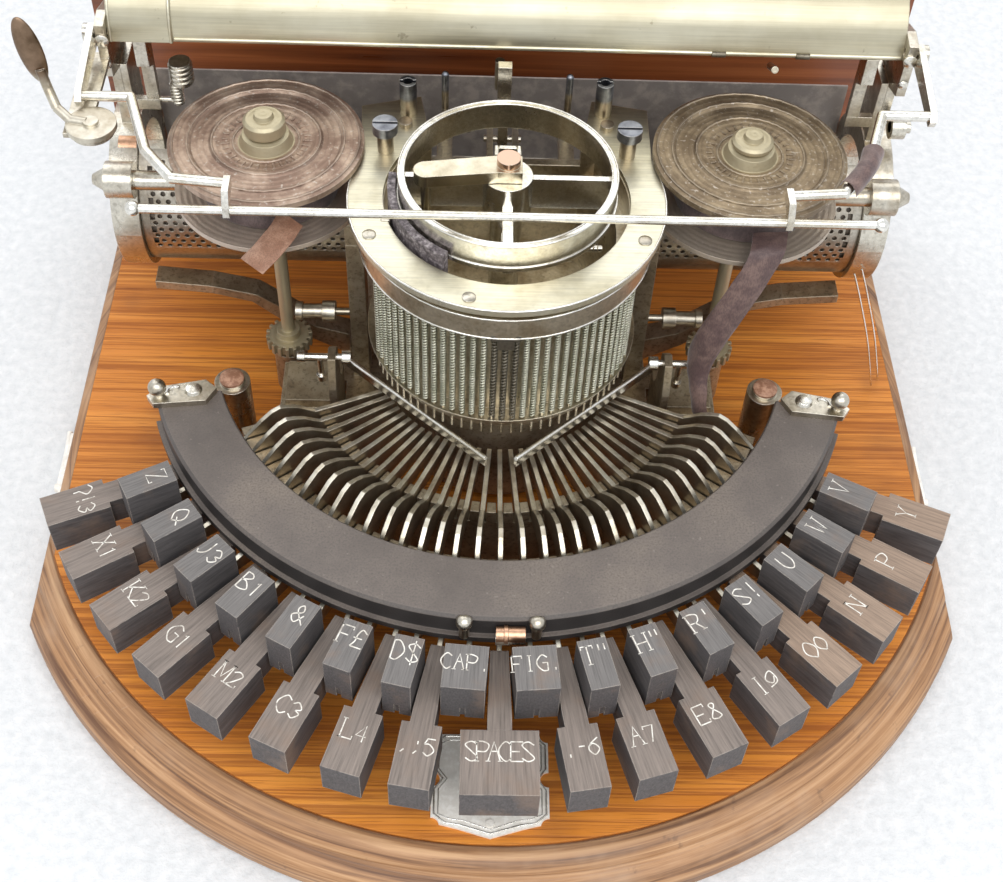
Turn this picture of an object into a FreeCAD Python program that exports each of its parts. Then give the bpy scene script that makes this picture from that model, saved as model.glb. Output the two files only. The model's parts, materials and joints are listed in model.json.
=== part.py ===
"""Curved-keyboard typewriter with a type drum, two ribbon spools and a sliding carriage.

Millimetres, +Z up, X to the right, Y to the back. The drum's axis is X = Y = 0 and
z = 0 is the underside of the wooden base. Heights named h are above the board's top.
"""
import FreeCAD, Part
import math
import os

V = FreeCAD.Vector

# Base and case
BOARD_TOP = 20.0
BASE_HALF = 157.5
BASE_TOP_HALF = 153.0
BOARD_HALF = 150.0
BASE_BACK = 130.0
RIM_R = 176.5
GROOVE_R = 161.7
SIDE_BEVEL_Z = 6.0
BACK_HALF = 154.0
BACK_THICK = 12.0
BACK_TOP = 168.0

# Frame castings
BED, BLOCK_TOP = 6.0, 24.0
RAIL_OUT, RAIL_IN = 55.4, 43.0
CRADLE_X, CASTING_HALF = 50.0, 3.0
ARM_FRONT, ARM_WIDE = 34.0, 8.0

# Keyboard
KEY_PITCH = 8.2857
FRONT_OUT, FRONT_IN = 160.0, 139.6
FRONT_TOP, FRONT_UNDER = 30.3, 16.7
BACK_OUT, BACK_IN = 135.3, 118.6
BACK_TOP_H, BACK_UNDER = 42.2, 25.3
SHIFT_OUT = 133.2
FRONT_HALF, SPACE_HALF, BACK_KEY_HALF, SHIFT_HALF = 6.0, 11.5, 4.4, 6.5
STEM_IN = 113.0
BLADE = 1.5
PIVOT_R, PIVOT_H = 88.0, 32.5
WIRE_R, LEVER_HOLE_R = 1.2, 1.3
STEM_UNDER = 19.5
COMB_OUT, COMB_IN, COMB_TOP = (92.0, 84.0), (66.0, 62.0), 36.5
COMB_HALF_ANGLE, COMB_SLOT_HALF = 69.0, 1.15

FRONT_NAMES = ["question", "x", "k", "g", "m", "c", "l", "comma", "space",
               "period", "a", "e", "i", "o", "n", "p", "y"]
BACK_NAMES = ["z", "q", "j", "b", "ampersand", "f", "d", "cap",
              "fig", "t", "h", "r", "s", "u", "w", "v"]
NEXT_TO_SPACE, SECOND_FROM_SPACE = 9.35, 16.62
SHIFT_AZIMUTH, NEXT_TO_SHIFT = 4.74, 13.0

# Cover band over the levers
COVER_Y = 9.0
COVER_IN, COVER_OUT = 98.0, 119.5
COVER_TOP, COVER_SHEET = 44.0, 1.5
COVER_SKIRT, COVER_STEP = 33.6, 36.0
COVER_END = 71.0

# Drum, anvil ring and type shuttle
CORE_R, CORE_IN = 39.5, 35.0
FLANGE_LOW, FLANGE_TOP, FLANGE_R = 52.5, 57.0, 44.9
BAND_LOW, BAND_TOP, BAND_R, BAND_IN = 97.0, 105.0, 46.5, 38.0
PLATE_LOW, PLATE_TOP, PLATE_R, PLATE_HOLE = 109.5, 111.6, 49.4, 38.2
DRUM_BACK = 28.0
SPRING_RING, SPRING_PITCH, SPRING_R = 43.2, 4.3, 1.1
SPRINGS_PER_SIDE, OPEN_SPRINGS_PER_SIDE = 16, 1
COIL_TURNS, COIL_WIRE = 28, 0.25
PIN_R, PIN_LOW = 0.5, 49.6
RING_OUT, RING_IN, RING_LOW, RING_TOP = 33.6, 31.5, 112.5, 121.8
SHUTTLE_IN, SHUTTLE_OUT = 34.3, 36.8
SHUTTLE_LOW, SHUTTLE_HIGH = 103.5, 116.0
SHUTTLE_AZIMUTH, SHUTTLE_HALF_ANGLE = -64.5, 33.5
HUB_R, HUB_LOW, HUB_TOP = 7.6, 107.5, 120.2
ARM_LOW, ARM_TOP = 120.4, 124.6
ARM_END = (-25.0, -3.4)
SHUTTLE_PIN_R = 2.0
HAMMER_X, HAMMER_Y, HAMMER_H, HAMMER_PIN_R = -1.0, 41.0, 100.2, 1.2
SCREW_Y, SCREW_H = 19.1, 39.0

# Spools
SPOOL_X = {"left": -75.7, "right": 76.9}
SPOOL_Y = {"left": 20.4, "right": 19.2}
SPOOL_R, SPOOL_CORE_R, FLANGE_SHEET = 30.8, 12.0, 1.8
SPOOL_LOW, SPOOL_TOP = 95.0, 115.0
SHAFT_R, SHAFT_FOOT = 2.35, 5.0
KNOB_TOP = {"left": 125.0, "right": 122.5}
GEAR_R, GEAR_TEETH, GEAR_LOW, GEAR_TOP = 7.0, 18, 21.5, 25.5
FIT = 0.05

# Universal bars
BAR_Y, BAR_H, BAR_PIN_R = -9.5, 46.6, 1.2
BAR_LOW, BAR_HALF_THICK = 43.3, 0.6

# Carriage
TUBE_Y, TUBE_H, TUBE_R = 32.5, 86.0, 3.3
ROD_Y, ROD_H, ROD_R = 94.0, 60.0, 2.5
BASKET_Y, BASKET_H, BASKET_R, BASKET_SHEET = 57.0, 65.0, 27.5, 0.8
BASKET_HALF, END_OUTER, END_RING_R, END_RING_IN = 123.0, 132.5, 29.5, 21.5
BASKET_REAR_TOP, RING_PARTS, SLIVER = 92.5, 8, 2.0
COVER_AXIS_Y, COVER_AXIS_H, COVER_ROUND = 68.0, 131.0, 21.0
TOP_HALF = 126.0
ROLLER_Y, ROLLER_H, ROLLER_R = 60.0, 129.0, 4.4
BAIL_PIVOT_Y, BAIL_PIVOT_H = 46.0, 134.5
BAIL_ROD_Y, BAIL_ROD_H, BAIL_HALF = -25.0, 126.0, 108.5
INNER_BAR = 115.0
LEVER_X, LEVER_Y = -125.7, 8.9
SHELF_LOW, SHELF_TOP = 125.4, 127.0


def up(h):
    """Height above the board's top as z."""
    return BOARD_TOP + h


def box(x0, x1, y0, y1, z0, z1):
    """Box between two corners."""
    return Part.makeBox(x1 - x0, y1 - y0, z1 - z0, V(x0, y0, z0))


def post(r, x, y, z0, z1):
    """Upright cylinder."""
    return Part.makeCylinder(r, z1 - z0, V(x, y, z0))


def rod(r, a, b):
    """Cylinder from point a to point b."""
    a, b = V(*a), V(*b)
    return Part.makeCylinder(r, (b - a).Length, a, b - a)


def ball(r, p):
    """Ball about a point."""
    return Part.makeSphere(r, V(*p))


def bent_rod(r, points):
    """Round rod along straight runs, with a ball at each bend."""
    shape = rod(r, points[0], points[1])
    for a, b in zip(points[1:], points[2:]):
        shape = shape.fuse(rod(r, a, b)).fuse(ball(r, a))
    return shape.removeSplitter()


def ring(r_in, r_out, x, y, z0, z1):
    """Upright ring."""
    return post(r_out, x, y, z0, z1).cut(post(r_in, x, y, z0 - 1, z1 + 1))


def face_of(points):
    """Flat face inside closed straight edges."""
    return Part.Face(Part.makePolygon([V(*p) for p in points] + [V(*points[0])]))


def flat(points, z0, z1):
    """Plate with an outline in X and Y."""
    return face_of([(x, y, z0) for x, y in points]).extrude(V(0, 0, z1 - z0))


def wall(points, x0, x1):
    """Plate with an outline in Y and Z."""
    return face_of([(x0, y, z) for y, z in points]).extrude(V(x1 - x0, 0, 0))


def around(r, azimuth):
    """Point on a circle about the drum's axis, its azimuth counted from the front."""
    a = math.radians(azimuth)
    return r * math.sin(a), -r * math.cos(a)


def turned(shape, azimuth):
    """Copy of a shape made at the front, turned about the drum's axis."""
    copy = shape.copy()
    copy.rotate(V(0, 0, 0), V(0, 0, 1), azimuth)
    return copy


def sector(outline, half_angle, centre_y=0.0):
    """Outline in (r, z) swept about a vertical axis to both sides of the front."""
    face = face_of([(0, -r, z) for r, z in outline])
    face.rotate(V(0, 0, 0), V(0, 0, 1), -half_angle)
    swept = face.revolve(V(0, 0, 0), V(0, 0, 1), 2 * half_angle)
    swept.translate(V(0, centre_y, 0))
    return swept


def mirrored(shape):
    """Copy of a shape on the other side of X = 0."""
    return shape.mirror(V(0, 0, 0), V(1, 0, 0))


def both(shape):
    """A shape and its mirror image, as a list."""
    return [shape, mirrored(shape)]


def save(name, shapes):
    """One STEP file for one named piece."""
    solids = []
    for shape in shapes:
        solids += shape.Solids
    whole = solids[0] if len(solids) == 1 else Part.makeCompound(solids)
    whole.exportStep(os.path.join("parts", name + ".step"))
    valid = all(s.isValid() for s in solids)
    print(name, len(solids), "solids", round(sum(s.Volume for s in solids), 1), "valid" if valid else "BAD")


# Base

def board():
    """Oak board inside the moulding."""
    straight = box(-BOARD_HALF, BOARD_HALF, -RIM_R, BASE_BACK, 0, BOARD_TOP)
    front = post(GROOVE_R, 0, 0, 0, BOARD_TOP)
    back = box(-BOARD_HALF, BOARD_HALF, -50, BASE_BACK, 0, BOARD_TOP)
    return straight.common(front.fuse(back)).removeSplitter()


def moulding():
    """Moulded edge round the front arc and along the sides."""
    profile = [V(0, 0, 0), V(174.5, 0, 0), V(RIM_R, 0, 2), V(RIM_R, 0, 7)]
    lower = Part.makePolygon(profile)
    bulge = Part.Arc(V(RIM_R, 0, 7), V(174.8, 0, 11.6), V(170.6, 0, 13.8)).toShape()
    step = Part.makePolygon([V(170.6, 0, 13.8), V(169.6, 0, 14.8)])
    cove = Part.Arc(V(169.6, 0, 14.8), V(168.2, 0, 18.3), V(164.6, 0, 20)).toShape()
    inner = Part.makePolygon([V(164.6, 0, 20), V(162.6, 0, 20), V(GROOVE_R, 0, 19.2), V(0, 0, 19.2), V(0, 0, 0)])
    edges = lower.Edges + [bulge] + step.Edges + [cove] + inner.Edges
    disc = Part.Face(Part.Wire(edges)).revolve(V(0, 0, 0), V(0, 0, 1), 360)
    sides = face_of([
        (-BASE_HALF, -RIM_R - 5, 0), (BASE_HALF, -RIM_R - 5, 0), (BASE_HALF, -RIM_R - 5, SIDE_BEVEL_Z),
        (BASE_TOP_HALF, -RIM_R - 5, BOARD_TOP), (-BASE_TOP_HALF, -RIM_R - 5, BOARD_TOP),
        (-BASE_HALF, -RIM_R - 5, SIDE_BEVEL_Z)])
    sides = sides.extrude(V(0, BASE_BACK + RIM_R + 5, 0))
    front = disc.common(box(-200, 200, -200, -50, -1, 40))
    back = box(-200, 200, -50, BASE_BACK, -1, 40)
    whole = sides.common(front.fuse(back))
    return whole.cut(board()).removeSplitter()


def back_panel():
    """Upright board behind the machine."""
    return box(-BACK_HALF, BACK_HALF, BASE_BACK, BASE_BACK + BACK_THICK, 0, BACK_TOP)


def shield_plate():
    """Thin plate on the board in front of the space key, with notched corners."""
    z0, z1 = BOARD_TOP, BOARD_TOP + 0.9
    plate = flat([(-20, -126), (16, -126), (16, -155), (8, -157), (-2, -160), (-12, -157), (-20, -155)], z0, z1)
    for x, y in ((-20, -126), (16, -126), (-20, -141), (16, -141), (-20, -156), (16, -156)):
        plate = plate.cut(post(2.6, x, y, z0 - 1, z1 + 1))
    rivet = post(1.2, -2, -155.5, z1, z1 + 0.6)
    return plate.fuse(rivet).removeSplitter()


def latch():
    """Case latch on the left side of the base."""
    x = -BASE_HALF
    plate = box(x - 1.2, x, -24, 4, 1.5, 5.9)
    hook = bent_rod(1.0, [(x - 1.9, -19, 3.7), (x - 1.9, -2, 3.7), (x - 1.9, 5, 5.2)])
    stud = rod(1.6, (x - 3.0, -20, 3.7), (x - 0.6, -20, 3.7))
    return plate.fuse(hook).fuse(stud).removeSplitter()


# Frame

def spool_bearing(side):
    """Upper arm and foot that hold one spool's shaft."""
    x, y = SPOOL_X[side], SPOOL_Y[side]
    upper = sorted((x, math.copysign(CRADLE_X + CASTING_HALF, x)))
    lower = sorted((x, math.copysign(RAIL_OUT, x)))
    arm = box(*upper, y - 3.5, y + 3.5, up(84), up(90)).fuse(post(5.4, x, y, up(83), up(91)))
    foot = box(*lower, y - 5, y + 5, BOARD_TOP, up(BED)).fuse(post(6.0, x, y, BOARD_TOP, up(19)))
    return [arm, foot]


def spool_hole(side):
    """Bore for one spool's shaft."""
    x, y = SPOOL_X[side], SPOOL_Y[side]
    return post(SHAFT_R + FIT, x, y, up(4), up(100))


def side_arm():
    """Curved lower arm that reaches out under the carriage's left end, in straight stretches."""
    under = [(-RAIL_OUT, 0), (-70, 9), (-82, 20), (-90, 27.5), (-104, 31.5), (-124, 33.5)]
    over = [(-RAIL_OUT, 11), (-68, 15), (-79, 24), (-88, 31), (-104, 35), (-124, 37)]
    stretches = []
    for a, b, c, d in zip(under, under[1:], over[1:], over):
        face = face_of([(x, ARM_FRONT, up(h)) for x, h in (a, b, c, d)])
        stretches.append(face.extrude(V(0, ARM_WIDE, 0)))
    return stretches


def side_casting():
    """Left block, horn plate, column, cradle, rear standard, rail and arm of the frame."""
    x0, x1 = -CRADLE_X - CASTING_HALF, -CRADLE_X + CASTING_HALF
    block = box(-76, -RAIL_OUT, -16, 8, BOARD_TOP, up(BLOCK_TOP))
    step = box(-74, -58, -13, 5, up(BLOCK_TOP), up(28))
    horn = wall([(-16, up(BLOCK_TOP)), (-17, up(38)), (-14, up(50)), (-9, up(50.5)), (-5, up(47)),
                 (-2, up(30)), (2, up(BLOCK_TOP))], -58, -RAIL_OUT)
    column = box(x0, x1, 18, 28.6, up(BED), up(72))
    bracket = wall([(18, up(72)), (28.6, up(72)), (TUBE_Y, up(81)), (18, up(81))], x0, x1)
    cradle = box(x0, x1, 18, TUBE_Y, up(81), up(91.5))
    rear = box(x0, x1, 89, 99, up(BED), up(ROD_H)).fuse(rod(5.5, (x0, ROD_Y, up(ROD_H)), (x1, ROD_Y, up(ROD_H))))
    rail = box(-RAIL_OUT, -RAIL_IN, -16, 99, BOARD_TOP, up(BED))
    return [block, step, horn, column, bracket, cradle, rear, rail] + side_arm()


def main_frame():
    """Bolted castings that carry the drum, the spools and the carriage."""
    left = side_casting()
    beds = [box(-RAIL_IN, RAIL_IN, y0, y1, BOARD_TOP, up(BED)) for y0, y1 in ((-16, 60), (89, 99))]
    pedestal = drum_half_plane(post(36, 0, 0, up(BED), up(FLANGE_LOW)), DRUM_BACK)
    pieces = left + [mirrored(piece) for piece in left] + beds + [pedestal]
    pieces += spool_bearing("left") + spool_bearing("right")
    holes = [rod(TUBE_R + FIT, (-70, TUBE_Y, up(TUBE_H)), (70, TUBE_Y, up(TUBE_H))),
             rod(ROD_R + FIT, (-70, ROD_Y, up(ROD_H)), (70, ROD_Y, up(ROD_H))),
             rod(BAR_PIN_R + FIT, (-70, BAR_Y, up(BAR_H)), (70, BAR_Y, up(BAR_H))),
             spool_hole("left"), spool_hole("right")]
    return [piece.cut(holes) for piece in pieces]


# Keyboard

def front_azimuth(index):
    """Azimuth of a front key counted from the space key."""
    size = {1: NEXT_TO_SPACE, 2: SECOND_FROM_SPACE}.get(abs(index), abs(index) * KEY_PITCH)
    return math.copysign(size, index)


def back_azimuth(index):
    """Azimuth of a back key, 1 beside the middle and up."""
    size = {1: SHIFT_AZIMUTH, 2: NEXT_TO_SHIFT}.get(abs(index), (abs(index) - 0.5) * KEY_PITCH)
    return math.copysign(size, index)


def lever(outer):
    """Steel lever blade with its hump and pivot hole, at the front; outer ends its top and bottom edges."""
    top = [(93, 35.5), (88.5, 40), (86, 42.5), (82, 45.5), (79, 46.5), (76, 45.5), (73, 44), (70, 41.5),
           (67.5, 39.6), (61, 39.3), (42, 39)]
    bottom = [(42, 34.5), (54, 34.5), (67.5, 33.5), (73, 35), (79, 36.5), (84, 30), (88, 28), (93, 27.5)]
    outline = [(-BLADE / 2, -r, up(h)) for r, h in outer[:2] + top + bottom + outer[2:]]
    blade = face_of(outline).extrude(V(BLADE, 0, 0))
    hole = rod(LEVER_HOLE_R, (-5, -PIVOT_R, up(PIVOT_H)), (5, -PIVOT_R, up(PIVOT_H)))
    return blade.cut(hole)


def front_block(half, stem_inner, stem_outer):
    """Ebony head of a front key and the stem glued to its inner face."""
    head = box(-half, half, -FRONT_OUT, -FRONT_IN, up(FRONT_UNDER), up(FRONT_TOP))
    stem = flat([(-stem_outer, -FRONT_IN), (stem_outer, -FRONT_IN), (stem_outer, -135),
                 (stem_inner, -STEM_IN), (-stem_inner, -STEM_IN), (-stem_outer, -135)],
                up(STEM_UNDER), up(FRONT_TOP))
    slot = box(-BLADE / 2, BLADE / 2, -121, -STEM_IN + 1, up(STEM_UNDER - 1), up(28.5))
    return [head, stem.cut(slot)]


def front_key(half=FRONT_HALF, stem_inner=3.2, stem_outer=4.0):
    """Front key: ebony block and its lever."""
    blade = lever([(121, 28.5), (113, 28.5), (113, 23.5), (121, 23.5)])
    return front_block(half, stem_inner, stem_outer) + [blade]


def back_key(half=BACK_KEY_HALF, outer=BACK_OUT):
    """Back key: ebony block with a slot underneath and its lever."""
    block = box(-half, half, -outer, -BACK_IN, up(BACK_UNDER), up(BACK_TOP_H))
    slot = box(-BLADE / 2, BLADE / 2, -outer - 1, -BACK_IN + 1, up(BACK_UNDER) - 1, up(30.5))
    blade = lever([(outer - 0.6, 30.5), (118, 30.5), (112, 25.6), (outer - 0.6, 25.6)])
    return [block.cut(slot), blade]


def keys():
    """All 33 keys as (name, azimuth, solids)."""
    made = []
    for index, name in zip(range(-8, 9), FRONT_NAMES):
        if index == 0:
            shapes = front_key(SPACE_HALF, 2.8, 3.6)
        elif abs(index) <= 2:
            shapes = front_key(FRONT_HALF, 2.5, 3.6)
        else:
            shapes = front_key()
        made.append((name, front_azimuth(index), shapes))
    for index, name in zip([i for i in range(-8, 9) if i], BACK_NAMES):
        shapes = back_key(SHIFT_HALF, SHIFT_OUT) if abs(index) == 1 else back_key()
        made.append((name, back_azimuth(index), shapes))
    return made


def lever_comb(azimuths):
    """Slotted outer comb with the pivot wire, and the notched inner bar."""
    rings = []
    for outer_r, inner_r in (COMB_OUT, COMB_IN):
        outline = [(inner_r, BOARD_TOP), (outer_r, BOARD_TOP), (outer_r, up(COMB_TOP)), (inner_r, up(COMB_TOP))]
        rings.append(sector(outline, COMB_HALF_ANGLE))
    outer, inner = rings
    outer_cut = box(-COMB_SLOT_HALF, COMB_SLOT_HALF, -95, -80, up(24.5), up(60))
    inner_cut = box(-COMB_SLOT_HALF, COMB_SLOT_HALF, -70, -58, up(31), up(60))
    outer = outer.cut([turned(outer_cut, a) for a in azimuths])
    inner = inner.cut([turned(inner_cut, a) for a in azimuths])
    circle = Part.Face(Part.Wire(Part.makeCircle(WIRE_R, V(0, -PIVOT_R, up(PIVOT_H)), V(1, 0, 0))))
    circle.rotate(V(0, 0, 0), V(0, 0, 1), -68)
    wire = circle.revolve(V(0, 0, 0), V(0, 0, 1), 136)
    return [outer.fuse(wire), inner]


def key_cover():
    """Curved band over the levers, with its skirt and lower step."""
    low = COVER_TOP - COVER_SHEET
    outline = [(COVER_IN, up(low)), (COVER_OUT - 1.5, up(low)), (COVER_OUT - 1.5, up(COVER_SKIRT)),
               (COVER_OUT + 1.6, up(COVER_SKIRT)), (COVER_OUT + 1.6, up(COVER_STEP)),
               (COVER_OUT, up(COVER_STEP)), (COVER_OUT, up(COVER_TOP - 1)), (COVER_OUT - 1, up(COVER_TOP)),
               (COVER_IN + 0.5, up(COVER_TOP)), (COVER_IN, up(COVER_TOP - 0.5))]
    return sector(outline, COVER_END, COVER_Y)


def cover_fittings():
    """Posts, nickel end caps, screws and the two front pegs of the cover."""
    made = []
    low = up(COVER_TOP - COVER_SHEET)
    for side in (-1, 1):
        leg = post(4.5, side * 102, -24, BOARD_TOP, low)
        socket = ring(4.2, 6.0, side * 90.5, -15.5, BOARD_TOP, up(40)).fuse(
            post(4.3, side * 90.5, -15.5, BOARD_TOP, up(30)))
        plug = post(4.2, side * 90.5, -15.5, up(30), up(41))
        cap = flat([(side * x, y) for x, y in ((94, -24), (98, -20.5), (113, -24), (116.5, -28),
                                               (114, -31.5), (97, -29.5))], up(COVER_TOP), up(46.4))
        screw = post(1.6, side * 112.6, -27.5, up(46.4), up(48.5)).fuse(
            ball(3.0, (side * 112.6, -27.5, up(50))))
        made += [leg, socket, plug, cap, screw]
        peg = post(1.6, side * 10.9, -111.0, up(COVER_STEP), up(41.5)).fuse(
            ball(2.6, (side * 10.9, -111.0, up(43.2))))
        peg = peg.cut(sector([(90, up(COVER_STEP)), (COVER_OUT, up(COVER_STEP)), (COVER_OUT, up(60)),
                              (90, up(60))], 30, COVER_Y))
        made.append(peg)
    sleeve = rod(2.2, (-1.5, -113.2, up(COVER_STEP + 2.2)), (7.5, -113.2, up(COVER_STEP + 2.2)))
    made.append(sleeve)
    return made


# Universal bars

def universal_bar():
    """Left V blade with its pin, knob and drop pin."""
    start, end = (-51.6, -10.2), (-4.6, -52.0)
    dx, dy = end[0] - start[0], end[1] - start[1]
    size = math.hypot(dx, dy)
    nx, ny = -dy / size * BAR_HALF_THICK, dx / size * BAR_HALF_THICK
    blade = flat([(start[0] + nx, start[1] + ny), (end[0] + nx, end[1] + ny),
                  (end[0] - nx, end[1] - ny), (start[0] - nx, start[1] - ny)], up(BAR_LOW), up(BAR_H))
    eye = rod(2.4, (-53.5, BAR_Y, up(BAR_H)), (-50.5, BAR_Y, up(BAR_H)))
    pin = rod(BAR_PIN_R, (-67, BAR_Y, up(BAR_H)), (-50.5, BAR_Y, up(BAR_H)))
    knob = rod(2.0, (-68.5, BAR_Y, up(BAR_H)), (-66, BAR_Y, up(BAR_H)))
    drop = rod(1.0, (-61, BAR_Y, up(BAR_H)), (-61, BAR_Y, up(36)))
    foot = rod(1.7, (-61, BAR_Y, up(38)), (-61, BAR_Y, up(35.5)))
    return blade.fuse([eye, pin, knob, drop, foot]).removeSplitter()


# Drum

def drum_half_plane(shape, back):
    """Shape kept in front of a flat cut across the drum's rear."""
    return shape.common(box(-80, 80, -80, back, 0, 300))


def spring_places():
    """Azimuth and place of each stop pin."""
    indices = range(-SPRINGS_PER_SIDE, SPRINGS_PER_SIDE + 1)
    return [(i, around(SPRING_RING, i * SPRING_PITCH)) for i in indices]


def drum_core():
    """Core, lower flange, upper band, spacer and rear lugs of the drum."""
    core = drum_half_plane(post(CORE_R, 0, 0, up(FLANGE_TOP), up(BAND_LOW)), DRUM_BACK)
    flange = drum_half_plane(
        Part.makeCone(42.8, FLANGE_R, FLANGE_TOP - FLANGE_LOW, V(0, 0, up(FLANGE_LOW))), DRUM_BACK)
    band = drum_half_plane(post(BAND_R, 0, 0, up(BAND_LOW), up(BAND_TOP)), DRUM_BACK)
    spacer = drum_half_plane(post(43.5, 0, 0, up(BAND_TOP), up(PLATE_LOW)), DRUM_BACK)
    lug = box(17.5, 22.5, DRUM_BACK - 2, 47.5, up(BAND_LOW), up(101))
    fork = box(2.2, 4.2, DRUM_BACK - 2, 44, up(BAND_LOW), up(103))
    fork = fork.fuse(box(-6.2, -4.2, DRUM_BACK - 2, 44, up(BAND_LOW), up(103)))
    shape = core.fuse([flange, band, spacer, lug, mirrored(lug), fork])
    hollow = drum_half_plane(post(CORE_IN, 0, 0, up(60), up(BAND_LOW + 1)), DRUM_BACK - 3)
    mouth = drum_half_plane(post(BAND_IN, 0, 0, up(BAND_LOW + 1), up(PLATE_LOW + 1)), DRUM_BACK - 3)
    opening = box(-24, 24, DRUM_BACK - 4, DRUM_BACK + 1, up(103), up(PLATE_LOW + 1))
    pins = [post(PIN_R, x, y, up(40), up(BAND_LOW + 3)) for i, (x, y) in spring_places()]
    hammer_pin = rod(HAMMER_PIN_R + FIT, (-10, HAMMER_Y, up(HAMMER_H)), (10, HAMMER_Y, up(HAMMER_H)))
    return shape.cut([hollow, mouth, opening, hammer_pin] + pins).removeSplitter()


def stop_pins():
    """Thirty-three stop pins, one in each spring."""
    return [post(PIN_R, x, y, up(PIN_LOW), up(BAND_LOW + 3)) for i, (x, y) in spring_places()]


def drum_plate():
    """Crescent top plate with its two rear ears."""
    disc = post(PLATE_R, 0, 0, up(PLATE_LOW), up(PLATE_TOP))
    disc = disc.common(box(-80, 80, -80, 20, 0, 300))
    ears = flat([(-46, 18), (-47, 42), (-28, 47.5), (-25, 30), (25, 30), (28, 47), (46, 43), (46, 18)],
                up(PLATE_LOW), up(PLATE_TOP))
    plate = disc.fuse(ears)
    plate = plate.cut(post(PLATE_HOLE, 0, 0, up(100), up(120)))
    gap = flat([(-24, 20), (-27, 60), (27, 60), (24, 20)], up(100), up(120))
    return plate.cut(gap).removeSplitter()


def open_spring(x, y, low, high, turns, wire):
    """Coil spring of half-turn arcs about an upright line through x and y."""
    radius = SPRING_R - wire
    pitch = (high - low - 2 * wire) / turns
    edges = []
    places = []
    steps = turns * 2
    for k in range(steps):
        z = low + wire + k * pitch / 2
        a0, a1, a2 = (math.pi * (k + s) for s in (0, 0.5, 1))
        ends = []
        for a, rise in ((a0, 0), (a1, pitch / 4), (a2, pitch / 2)):
            ends.append(V(x + radius * math.cos(a), y + radius * math.sin(a), z + rise))
        edges.append(Part.Arc(*ends).toShape())
        places += ends[:2]
    path = Part.Wire(edges)
    section = Part.Wire(Part.makeCircle(wire, places[0], V(0, 1, 0)))
    near = [(p - q).Length for k, p in enumerate(places) for q in places[k + 3:]]
    print("least gap of a spring to itself", round(min(near) - 2 * wire, 2))
    return path.makePipeShell([section], True, False)


def drum_springs():
    """Three open coils at the middle and thirty closely wound ones as plain sleeves."""
    made = []
    low, high = up(FLANGE_TOP), up(BAND_LOW)
    for i, (x, y) in spring_places():
        if abs(i) <= OPEN_SPRINGS_PER_SIDE:
            made.append(open_spring(x, y, low, high, COIL_TURNS, COIL_WIRE))
        else:
            made.append(ring(PIN_R, SPRING_R, x, y, low, high))
    return made


def plate_fittings():
    """Screws, slotted posts and thin pins on the drum plate, and the thumb screws beside the shafts."""
    made = []
    top = up(PLATE_TOP)
    for x, y in ((-38.3, 20.5), (38.2, 20.5)):
        neck = post(2.6, x, y, top, up(119))
        head = post(4.0, x, y, up(119), up(122.4)).cut(box(x - 5, x + 5, y - 0.5, y + 0.5, up(121.4), up(123)))
        made.append(neck.fuse(head))
    for x, y in ((-31.8, 39.3), (31.3, 40.9)):
        tube = ring(1.6, 2.8, x, y, top, up(124)).cut(box(x - 4, x + 4, y - 0.6, y + 0.6, up(121.5), up(125)))
        made.append(tube)
    for x, y in ((-32.5, 33.0), (32.5, 33.8)):
        made.append(post(2.2, x, y, top, up(113.2)))
    for x in (-20.0, 20.0):
        made.append(post(1.2, x, 43.0, up(101), up(124)).fuse(ball(1.2, (x, 43.0, up(124)))))
    stem = rod(1.3, (-CRADLE_X - 3, SCREW_Y, up(SCREW_H)), (-70, SCREW_Y, up(SCREW_H)))
    head = rod(3.8, (-62.6, SCREW_Y, up(SCREW_H)), (-58, SCREW_Y, up(SCREW_H)))
    body = rod(2.6, (-69.6, SCREW_Y, up(SCREW_H)), (-62.6, SCREW_Y, up(SCREW_H)))
    rings = rod(3.3, (-72, SCREW_Y, up(SCREW_H)), (-69.6, SCREW_Y, up(SCREW_H)))
    made += both(stem.fuse([head, body, rings]).removeSplitter())
    return made


# Anvil ring, shuttle and hammer

def anvil_ring():
    """Ring, upright web, hub and post inside the type shuttle, with the threaded rod and finger plates."""
    hoop = ring(RING_IN, RING_OUT, 0, 0, up(RING_LOW), up(RING_TOP))
    bead = ring(RING_IN, RING_OUT + 0.35, 0, 0, up(RING_LOW), up(RING_LOW + 1.5))
    web = box(-RING_IN - 0.5, RING_IN + 0.5, -1, 1, up(108), up(119.6))
    hub = post(HUB_R, 0, 0, up(HUB_LOW), up(HUB_TOP))
    stand = post(5.0, 0, 0, up(60), up(HUB_LOW))
    bore = post(SHUTTLE_PIN_R + FIT, 0, 0, up(110), up(121))
    screw = rod(1.1, (-30, -9, up(99)), (30, -9, up(99)))
    finger = box(-1.6, 1.6, -RING_IN - 0.5, -6.5, up(110), up(114))
    side_finger = box(8, 9.6, -30.2, -20, up(108), up(114)).fuse(box(8, 9.6, -29, -4, up(108), up(109.5)))
    shape = hoop.fuse([bead, web, hub, stand, finger])
    shape = shape.cut(bore).removeSplitter()
    rod_holder = box(-1.5, 1.5, -10.5, -4.5, up(97.5), up(100.5))
    return [shape.fuse([screw, rod_holder]).removeSplitter()]


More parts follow.
